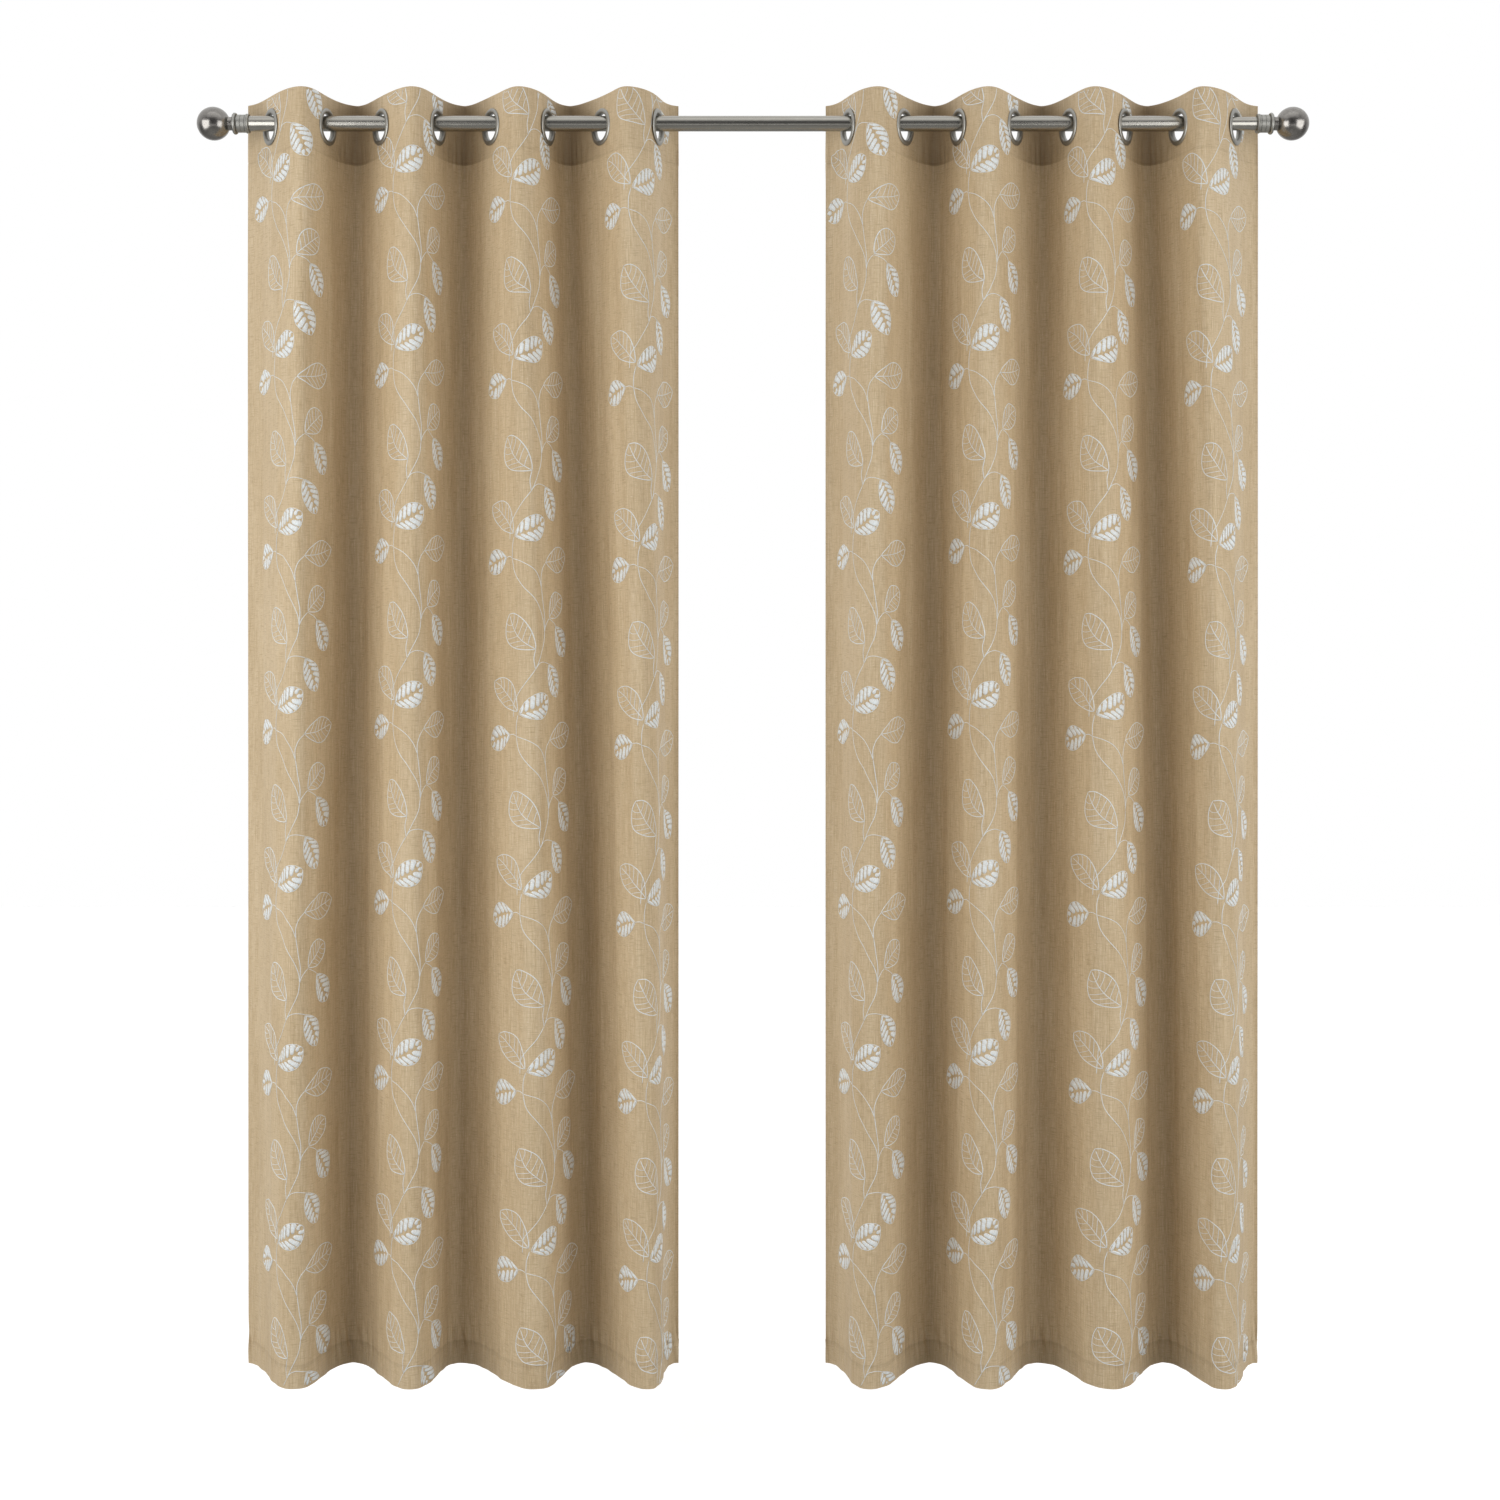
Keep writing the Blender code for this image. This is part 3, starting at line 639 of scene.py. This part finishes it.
def ribbon(path, widths):
    """A low raised bar along a path on the flat cloth: four corners at each point, two on
    the cloth and two above it.  Returns (across, up, rise) points, stitch UVs and faces."""
    run = np.gradient(path, axis=0)
    run /= np.maximum(np.linalg.norm(run, axis=1, keepdims=True), 1e-9)
    aside = np.stack([-run[:, 1], run[:, 0]], -1)
    share = np.array([-0.5, -0.3, 0.3, 0.5])
    taper = np.ones(len(path))
    taper[[0, -1]] = 0.45
    spread = (widths * taper)[:, None] * share
    flat = path[:, None] + spread[..., None] * aside[:, None]
    rise = np.broadcast_to(np.array([-0.25, 1, 1, -0.25]) * THREAD_RISE / MM, spread.shape)
    points = np.concatenate([flat, rise[..., None]], -1).reshape(-1, 3)
    length = np.concatenate([[0], np.cumsum(np.linalg.norm(np.diff(path, axis=0), axis=1))])
    stitches = np.stack([np.broadcast_to(length[:, None], spread.shape), spread], -1).reshape(-1, 2)
    index = np.arange(len(points)).reshape(-1, 4)
    after = np.roll(index, -1, 1)
    sides = np.stack([index[:-1], after[:-1], after[1:], index[1:]], -1).reshape(-1, 4)
    ends = np.array([index[0][::-1], index[-1]])
    return points * MM, stitches * MM, np.concatenate([sides, ends])


def embroider(panel, material):
    """Places the repeat down each front fold, cuts each stroke at the grommets, at the
    panel's edges and where one strip of cloth meets the next, and makes one piece a strip."""
    strokes = motif_strokes()
    gathered = {}
    rings = np.array([[panel.arc(f), panel.ring_z] for f in range(GROMMETS)])
    rows = range(-1, int((FIRST_FORK - panel.bottom) / (REPEAT_UP * MM)) + 1)
    for column, drop in enumerate(COLUMN_DROP):
        middle = float(panel.arc(2 * column + 0.5))
        for row in rows:
            origin = np.array([middle / MM, FIRST_FORK / MM - drop - REPEAT_UP * row])
            for path, widths in strokes:
                aside = np.interp(row - path[:, 1] / REPEAT_UP, COLUMN_ROWS, COLUMN_ASIDE[column])
                path = path + origin + np.stack([aside, np.zeros(len(path))], -1)
                placed = path * MM
                across, height = placed.T
                if height.min() > panel.top or height.max() < panel.bottom:
                    continue
                inside = (across > 3 * MM) & (across < panel.width - 3 * MM)
                inside &= (height < panel.top - 2 * MM) & (height > panel.bottom + 2 * MM)
                away = np.linalg.norm(placed[:, None] - rings, axis=2).min(1)
                inside &= away > HOLE_CUT + 1.5 * MM
                x = panel.plan(panel.phase(across), height)[0]
                x = (x[1:] + x[:-1]) / 2
                strip = np.floor((x - panel.start) / panel.pitch)
                strip = np.clip(strip, -1, GROMMETS - 1).astype(int)
                strip = np.where(inside[1:] & inside[:-1], strip, CUT_AWAY)
                breaks = np.flatnonzero(np.diff(strip)) + 1
                for run in np.split(np.arange(len(strip)), breaks):
                    if strip[run[0]] == CUT_AWAY:
                        continue
                    span = slice(run[0], run[-1] + 2)
                    bar = ribbon(path[span], widths[span])
                    gathered.setdefault(int(strip[run[0]]), []).append(bar)
    made = {}
    for strip, ribbons in sorted(gathered.items()):
        counts = np.cumsum([0] + [len(r[0]) for r in ribbons])
        points = np.concatenate([r[0] for r in ribbons])
        stitches = np.concatenate([r[1] for r in ribbons])
        faces = np.concatenate([r[2] + count for r, count in zip(ribbons, counts)])
        phase = panel.phase(points[:, 0])
        place = panel.place(phase, points[:, 1], face_offset(panel, points[:, 1]) + points[:, 2])[0]
        faces = outward(place, [faces])[0]
        start, end = max(strip, panel.first), min(strip + 1, panel.last)
        name = f"{panel.side}_embroidery_{strip_label(start, end)}"
        mesh, corners = new_mesh(name, place, [faces])
        set_uv(mesh, corners, stitches)
        mesh.shade_smooth()
        piece = new_piece(name, mesh, material)
        made[strip] = piece
    return made


# ---------------------------------------------------------------- materials
def new_material(name):
    material = bpy.data.materials.new(name)
    material.use_nodes = True
    tree = material.node_tree
    return material, tree, tree.nodes["Principled BSDF"]


def add(tree, kind, links=(), **values):
    """A node; each link is (socket to read, input's name or number), each value an input or
    a setting of the node."""
    made = tree.nodes.new("ShaderNode" + kind)
    for key, value in values.items():
        if hasattr(made, key):
            setattr(made, key, value)
        else:
            made.inputs[key.replace("_", " ")].default_value = value
    for socket, key in links:
        tree.links.new(socket, made.inputs[key])
    return made


def stretched_noise(tree, place, scale, detail=2.0, roughness=0.5):
    """Noise with its own number of grains a metre each way."""
    mapping = add(tree, "Mapping", [(place, "Vector")], Scale=scale)
    noise = add(tree, "TexNoise", [(mapping.outputs[0], "Vector")],
                Scale=1.0, Detail=detail, Roughness=roughness)
    return noise.outputs["Fac"]


def bands(tree, place, direction):
    """Even waves 1.57 mm apart along one direction of the flat cloth: sin(20 * 200 * place)."""
    only = (1, 0, 1) if direction == "X" else (0, 1, 1)
    mapping = add(tree, "Mapping", [(place, "Vector")], Scale=only)
    wave = add(tree, "TexWave", [(mapping.outputs[0], "Vector")],
               Scale=200.0, bands_direction=direction)
    return wave.outputs["Fac"]


def ramp(tree, factor, stops):
    """Colours by position along a factor."""
    made = add(tree, "ValToRGB", [(factor, "Fac")])
    elements = made.color_ramp.elements
    for element, (position, colour) in zip([elements[0], elements[-1]], [stops[0], stops[-1]]):
        element.position, element.color = position, (*colour, 1)
    for position, colour in stops[1:-1]:
        element = elements.new(position)
        element.color = (*colour, 1)
    return made.outputs["Color"]


def level(tree, factor, low, high):
    """A map from one range of a factor to 0..1."""
    return add(tree, "MapRange", [(factor, "Value")], From_Min=low, From_Max=high).outputs[0]


def mixed(tree, factor, first, second):
    """One colour over another by a factor; each may be a socket or a plain value."""
    made = tree.nodes.new("ShaderNodeMix")
    made.data_type = "RGBA"
    for value, key in ((factor, 0), (first, 6), (second, 7)):
        if isinstance(value, bpy.types.NodeSocket):
            tree.links.new(value, made.inputs[key])
        else:
            made.inputs[key].default_value = (*value, 1) if key else value
    return made.outputs[2]


def combined(tree, first, second, operation="ADD"):
    """The sum of two factors, or another operation on them."""
    made = tree.nodes.new("ShaderNodeMath")
    made.operation = operation
    for value, key in ((first, 0), (second, 1)):
        if isinstance(value, bpy.types.NodeSocket):
            tree.links.new(value, made.inputs[key])
        else:
            made.inputs[key].default_value = value
    return made.outputs[0]


def scaled(tree, factor, amount):
    return combined(tree, factor, amount, "MULTIPLY")


def finished(shader, **values):
    """Sets the shader's own sockets, such as Sheen_Weight=0.05."""
    for key, value in values.items():
        shader.inputs[key.replace("_", " ")].default_value = value


def varied_roughness(tree, shader, factor, low, high):
    made = add(tree, "MapRange", [(factor, "Value")], To_Min=low, To_Max=high)
    tree.links.new(made.outputs[0], shader.inputs["Roughness"])


def bumped(tree, shader, height, strength, distance):
    made = add(tree, "Bump", [(height, "Height")], Strength=strength, Distance=distance)
    tree.links.new(made.outputs[0], shader.inputs["Normal"])


def linen_look():
    """Tan slubby weave: long uneven warp streaks, short weft slubs and a fine plain weave, with
    painted glints, and painted shade over the doubled header and hem, in the back folds and along
    the stitched-down creases."""
    material, tree, shader = new_material("slubby_linen")
    flat = add(tree, "UVMap", uv_map="flat").outputs[0]
    streaks = stretched_noise(tree, flat, (520, 9, 1), 3.0, 0.7)
    threads = stretched_noise(tree, flat, (1300, 45, 1), 2.0, 0.6)
    slubs = stretched_noise(tree, flat, (55, 800, 1), 2.0, 0.5)
    patches = stretched_noise(tree, flat, (18, 3, 1), 2.0, 0.5)
    weft = level(tree, slubs, 0.53, 0.72)
    # Painted glints: pale flecks mixed into the base colour stand in for the shine of shiny threads
    glints = level(tree, stretched_noise(tree, flat, (260, 700, 1), 2.0, 0.6), 0.60, 0.78)
    tone = combined(tree, scaled(tree, streaks, 0.75), scaled(tree, threads, 0.80))
    tone = combined(tree, tone, scaled(tree, patches, 0.35))
    colour = ramp(tree, scaled(tree, tone, 0.526), [
        (0.34, (0.415, 0.295, 0.158)),
        (0.50, (0.570, 0.435, 0.262)),
        (0.66, (0.695, 0.562, 0.380)),
    ])
    colour = mixed(tree, scaled(tree, weft, 0.62), colour, (0.370, 0.262, 0.136))
    colour = mixed(tree, scaled(tree, glints, 0.55), colour, (0.86, 0.76, 0.60))
    # Painted shade: the cloth strips' attribute darkens the colour towards deep brown over the
    # doubled header and hem, in the back folds and along the stitch creases
    dark = add(tree, "Attribute", attribute_name="painted_shade").outputs["Fac"]
    colour = mixed(tree, scaled(tree, dark, 0.85), colour, (0.190, 0.118, 0.055))
    tree.links.new(colour, shader.inputs["Base Color"])
    weave = combined(tree, bands(tree, flat, "X"), bands(tree, flat, "Y"))
    bumps = combined(tree, scaled(tree, weave, 0.25), combined(tree, threads, streaks))
    bumped(tree, shader, combined(tree, bumps, weft), 0.55, 0.35 * MM)
    finished(shader, Roughness=0.62, Sheen_Weight=0.05, Sheen_Roughness=0.5)
    return material


def thread_look():
    """Icy white embroidery thread: fine stitches across each stroke, and a soft shine."""
    material, tree, shader = new_material("satin_thread")
    flat = add(tree, "UVMap", uv_map="flat").outputs[0]
    stitches = stretched_noise(tree, flat, (1400, 60, 1), 2.0)
    patches = stretched_noise(tree, flat, (160, 160, 1), 2.0)
    colour = ramp(tree, stitches, [
        (0.30, (0.50, 0.51, 0.49)),
        (0.48, (0.72, 0.73, 0.71)),
        (0.70, (0.88, 0.89, 0.87)),
    ])
    colour = mixed(tree, level(tree, patches, 0.45, 0.75), colour, (0.78, 0.84, 0.86))
    tree.links.new(colour, shader.inputs["Base Color"])
    bumped(tree, shader, stitches, 0.5, 0.3 * MM)
    finished(shader, Roughness=0.48, Sheen_Weight=0.2)
    return material


def metal_look(name, dark, light, roughness, grain, bump, spread=0.2):
    """Metal with a grain: noise stretched by the grain's scales in Object coordinates tints
    the colour, roughens it and raises it slightly."""
    material, tree, shader = new_material(name)
    place = add(tree, "TexCoord").outputs["Object"]
    fine = stretched_noise(tree, place, grain, 3.0, 0.6)
    cloudy = stretched_noise(tree, place, (60, 60, 60), 3.0, 0.6)
    colour = ramp(tree, fine, [(0.32, dark), (0.68, light)])
    colour = mixed(tree, level(tree, cloudy, 0.35, 0.85), colour, dark)
    tree.links.new(colour, shader.inputs["Base Color"])
    varied_roughness(tree, shader, fine, roughness * (1 - spread), roughness * (1 + spread))
    bumped(tree, shader, fine, bump, 0.05 * MM)
    finished(shader, Metallic=1.0)
    return material


def pewter_look():
    """Antique pewter: dark, cloudy and finely pitted."""
    material, tree, shader = new_material("antique_pewter")
    place = add(tree, "TexCoord").outputs["Object"]
    cloudy = stretched_noise(tree, place, (90, 90, 90), 4.0, 0.65)
    speckle = stretched_noise(tree, place, (1100, 1100, 1100), 2.0, 0.6)
    cells = add(tree, "TexVoronoi", [(place, "Vector")], Scale=520.0)
    pits = level(tree, cells.outputs["Distance"], 0.0, 0.32)
    colour = ramp(tree, cloudy, [
        (0.30, (0.265, 0.252, 0.236)),
        (0.55, (0.320, 0.305, 0.286)),
        (0.75, (0.375, 0.358, 0.336)),
    ])
    colour = mixed(tree, level(tree, speckle, 0.30, 0.50), (0.150, 0.141, 0.132), colour)
    tree.links.new(colour, shader.inputs["Base Color"])
    varied_roughness(tree, shader, cloudy, 0.20, 0.30)
    bumped(tree, shader, combined(tree, pits, scaled(tree, speckle, 0.6)), 0.08, 0.15 * MM)
    finished(shader, Metallic=1.0)
    return material


# ---------------------------------------------------------------- metal pieces
RING_STEPS = 72
TUBE_STEPS = 96


def soften(profile, radius, steps=4):
    """Rounds each corner of a closed profile with a quadratic curve that starts and ends up
    to a radius from the corner."""
    p = np.asarray(profile, float)
    out = []
    for i in range(len(p)):
        before, here, after = p[i - 1], p[i], p[(i + 1) % len(p)]
        a, b = before - here, after - here
        la, lb = np.linalg.norm(a), np.linalg.norm(b)
        start, end = here + a / la * min(radius, la * 0.45), here + b / lb * min(radius, lb * 0.45)
        t = np.linspace(0, 1, steps)[:, None]
        out.extend(map(tuple, (1 - t) ** 2 * start + 2 * t * (1 - t) * here + t ** 2 * end))
    return out


def stand_in(piece, node, body):
    """A piece rides on a body in a node's place, and the node is hidden."""
    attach(piece, body)
    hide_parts(node)


def spans_of(node, centre, axis):
    """How far a ring's points lie along its axis, and how far from it."""
    points = vertices(node) - centre
    along = points @ axis
    return along, np.linalg.norm(points - along[:, None] * axis, axis=1)


def make_grommets(panel, material):
    """Both rings of each grommet.  The face ring's profile is given from its bore and from
    the top of its crown, which is rolled over into the barrel; the backing ring is a thin
    washer with eased edges."""
    for number, (centre, axis) in panel.grommets.items():
        name = f"{panel.side}_grommet_{number}"
        body = panel.body(panel.order.index(number))
        node = f"{panel.side}_grommet_front_{number}"
        along, reach = spans_of(node, centre, axis)
        top, low, outer, bore = along.max(), along.min(), reach.max(), reach.min()
        under = top - 3.2 * MM
        barrel = bore + 1.2 * MM
        crown = top - 0.9 * MM
        end = low + 0.8 * MM
        inside = [(0.9, 0), (0.25, 1.6), (0, 3.4)]
        rolled = [(0.25, -3.2), (0.9, -1.5), (1.8, -0.5), (2.9, 0), (4.6, 0), (6.4, -0.35)]
        profile = [(bore + r * MM, end + d * MM) for r, d in inside]
        profile += [(bore + r * MM, crown + d * MM) for r, d in rolled]
        profile += [
            (outer - 1.2 * MM, crown - 0.8 * MM), (outer - 0.3 * MM, crown - 1.4 * MM),
            (outer, under + 0.5 * MM), (outer - 0.4 * MM, under),
            (barrel + 0.1 * MM, under), (barrel + 0.1 * MM, end),
        ]
        ring = turned(name + "_face", profile, centre, axis, material, RING_STEPS)
        stand_in(ring, node, body)
        node = f"{panel.side}_grommet_back_{number}"
        along, reach = spans_of(node, centre, axis)
        near, far = along.max(), along.min() + 0.9 * MM
        hole = barrel + 0.4 * MM
        profile = [(hole, near), (outer, near), (outer - 1.4 * MM, far), (hole, far)]
        profile = soften(profile, 0.6 * MM)
        ring = turned(name + "_backing", profile, centre, axis, material, RING_STEPS)
        stand_in(ring, node, body)


def make_tube(name, body, wall, material):
    """A round tube along X with eased ends, in the place of its CAD node."""
    low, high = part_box(name)
    centre = np.array([low[0], (low[1] + high[1]) / 2, (low[2] + high[2]) / 2])
    radius = (high[2] - low[2]) / 2
    length = high[0] - low[0]
    bore = radius - wall
    profile = soften([(bore, 0), (radius, 0), (radius, length), (bore, length)], 0.4 * MM)
    tube = turned(name + "_shown", profile, centre, (1, 0, 0), material, TUBE_STEPS)
    stand_in(tube, name, body)


def make_finial(side, material, collar_material):
    """The stepped collar with turned beads and the ball on its waisted neck, both turned
    about the rod from the collar's mouth outwards; distances are from that mouth."""
    out = -1 if side == "left" else 1
    low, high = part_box(side + "_finial_collar")
    mouth = low[0] if out > 0 else high[0]
    length = high[0] - low[0]
    centre = np.array([mouth, (low[1] + high[1]) / 2, (low[2] + high[2]) / 2])
    along, reach = spans_of(side + "_finial_collar", centre, np.array([out, 0, 0]))
    at_mouth = reach[np.abs(along) < 0.1 * MM]
    bore, rim, stud, flange = at_mouth.min(), at_mouth.max(), reach.min(), reach.max()
    sleeve = rim - 1.25 * MM
    floor = 16.8 * MM
    beads = [(0, 3.1), (0, 4.6), (-0.6, 5.3)]
    groove = [(-0.9, 5.5), (-0.9, 6.4), (0, 6.8), (0, 12.6), (-0.8, 12.9), (-0.8, 13.6), (0, 13.9)]
    waist = [(0, 7.2), (-1.6, 6.8), (-1.6, 5.5)]
    profile = [(bore, 0.3 * MM), (bore + 0.3 * MM, 0)]
    profile += [(rim + r * MM, d * MM) for r, d in [(-0.7, 0), (0, 0.7), (0, 2.3), (-0.5, 2.7)]]
    profile += [(rim + r * MM, d * MM) for r, d in beads]
    profile += [(sleeve + r * MM, d * MM) for r, d in groove]
    profile += [(sleeve + r * MM, length - d * MM) for r, d in waist]
    profile += [(flange - 1.2 * MM, length - 5.3 * MM)]
    profile += arc_points(2.6 * MM, flange - 2.6 * MM, length - 2.65 * MM, -75, 75, 9)
    profile += [(flange - 1.6 * MM, length), (stud, length), (stud, floor), (bore, floor)]
    collar = turned(side + "_collar", profile, centre, (out, 0, 0), collar_material, RING_STEPS)
    low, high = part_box(side + "_finial_ball")
    ball_radius = (high[2] - low[2]) / 2
    far = abs((high[0] if out > 0 else low[0]) - mouth)
    middle = far - ball_radius
    neck, bolt = 12.0 * MM, 3.9 * MM
    near = np.abs(vertices(side + "_finial_ball")[:, 0] - mouth).min()
    begin = length + 0.3 * MM
    angle = np.linspace(0, math.pi - math.asin(11.2 * MM / ball_radius), 40)[1:]
    profile = [(0, far)]
    profile += zip(ball_radius * np.sin(angle), middle + ball_radius * np.cos(angle))
    profile += [
        (neck - 0.9 * MM, begin + 1.9 * MM), (neck, begin + 1.3 * MM), (neck, begin + 0.5 * MM),
        (neck - 0.6 * MM, begin), (bolt, begin), (bolt, near + 0.4 * MM),
        (bolt - 0.4 * MM, near), (0, near),
    ]
    ball = turned(side + "_ball", profile, centre, (out, 0, 0), material, TUBE_STEPS)
    stand_in(collar, side + "_finial_collar", side + "_finial")
    stand_in(ball, side + "_finial_ball", side + "_finial")


# ---------------------------------------------------------------- camera, light and floor
EYE = (-0.005, -3.669, -0.903)
LENS, SENSOR = 51.5, 36.0
SHIFT = -0.0567
FLOOR_Z = -2.33
AIM = (0, -0.1, -0.95)         # the middle of the panels
# name, place, target, size and power of each soft light
LIGHTS = [
    ("left_softbox", (-2.9, -2.3, -0.75), AIM, (3.0, 2.8), 88),
    ("right_softbox", (2.9, -2.3, -0.75), AIM, (3.0, 2.8), 76),
    ("top_softbox", (0, -1.5, 1.9), (0, -0.1, -0.4), (4.4, 2.0), 11),
    ("low_fill", (0.1, -4.3, -1.75), AIM, (3.4, 1.0), 6),
]


def make_camera():
    data = bpy.data.cameras.new("eye")
    data.lens, data.sensor_width, data.shift_y = LENS, SENSOR, SHIFT
    camera = bpy.data.objects.new("eye", data)
    camera.location = EYE
    camera.rotation_euler = (math.radians(90), 0, 0)
    bpy.context.scene.collection.objects.link(camera)
    bpy.context.scene.camera = camera


def make_light(name, place, target, size, power):
    data = bpy.data.lights.new(name, "AREA")
    data.shape, (data.size, data.size_y) = "RECTANGLE", size
    data.energy = power
    light = bpy.data.objects.new(name, data)
    light.location = place
    aim = np.array(target, float) - np.array(place, float)
    light.rotation_euler = Vector(aim).to_track_quat("-Z", "Y").to_euler()
    bpy.context.scene.collection.objects.link(light)


def make_world():
    """A white backdrop, with light from overhead and behind, less from the floor, and
    hardly any from the room in front."""
    world = bpy.data.worlds.new("studio")
    world.use_nodes = True
    bpy.context.scene.world = world
    tree = world.node_tree
    background = tree.nodes["Background"]
    direct = add(tree, "LightPath").outputs["Is Camera Ray"]
    way = add(tree, "TexCoord").outputs["Generated"]
    above = add(tree, "VectorMath", [(way, 0)], operation="DOT_PRODUCT")
    above.inputs[1].default_value = (0, 0.6, 0.8)
    glow = ramp(tree, level(tree, above.outputs["Value"], -1.0, 1.0), [
        (0.18, (0.085, 0.085, 0.087)),
        (0.42, (0.13, 0.13, 0.132)),
        (0.70, (0.80, 0.80, 0.80)),
        (1.0, (1.0, 1.0, 1.0)),
    ])
    below = level(tree, add(tree, "SeparateXYZ", [(way, 0)]).outputs[2], -0.25, -0.95)
    glow = mixed(tree, below, glow, (0.40, 0.40, 0.39))
    tree.links.new(mixed(tree, direct, glow, (1, 1, 1)), background.inputs["Color"])


def make_floor():
    """A plain pale floor that only the camera sees, so that it lights nothing."""
    material, tree, shader = new_material("studio_floor")
    place = add(tree, "TexCoord").outputs["Object"]
    faint = stretched_noise(tree, place, (2, 2, 2))
    pale = ramp(tree, faint, [(0.3, (0.86, 0.86, 0.86)), (0.7, (0.90, 0.90, 0.90))])
    tree.links.new(pale, shader.inputs["Base Color"])
    finished(shader, Emission_Color=(1, 1, 1, 1), Emission_Strength=0.30)
    corners = np.array([(x, y, FLOOR_Z) for x, y in ((-9, -9), (9, -9), (9, 9), (-9, 9))], float)
    mesh = new_mesh("studio_floor", corners, [np.array([[0, 1, 2, 3]])])[0]
    floor = new_piece("studio_floor", mesh, material)
    floor.visible_diffuse = floor.visible_glossy = False


# ---------------------------------------------------------------- everything together
bpy.context.scene.view_settings.view_transform = "Standard"
make_camera()
make_world()
make_floor()
for light in LIGHTS:
    make_light(*light)

nickel = metal_look("brushed_nickel", (0.375, 0.362, 0.328), (0.435, 0.420, 0.382),
                    0.26, (4, 160, 160), 0.004, 0.06)
ring_metal = metal_look("satin_pewter", (0.37, 0.365, 0.340), (0.46, 0.455, 0.425),
                        0.46, (300, 300, 300), 0.12)
zinc = metal_look("bright_zinc", (0.48, 0.48, 0.49), (0.62, 0.62, 0.62),
                  0.32, (500, 500, 500), 0.25)
pewter = pewter_look()
thread = thread_look()
linen = linen_look()

make_tube("outer_tube", "rod", 1.2 * MM, nickel)
make_tube("inner_tube", "rod_extension", 1.0 * MM, nickel)
for side in ("left", "right"):
    make_finial(side, pewter, ring_metal)
    panel = Panel(side)
    make_grommets(panel, ring_metal)
    embroidery = embroider(panel, thread)
    spans = [(panel.first, 0)] + [(f, f + 1) for f in range(GROMMETS - 1)]
    spans += [(GROMMETS - 1, panel.last)]
    for span, fold in zip(spans, range(-1, GROMMETS)):
        strip = cloth_strip(panel, *span, linen)
        worn = [strip] + ([embroidery[fold]] if fold in embroidery else [])
        for piece in worn:
            join_to_frame(piece, panel, *span)
        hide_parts(side + "_panel_cloth", side + "_heading_tape")

for word, finish in (("screw", zinc), ("bracket", nickel), ("plate", nickel)):
    for name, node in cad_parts.items():
        if word in name:
            node.data.materials.clear()
            node.data.materials.append(finish)
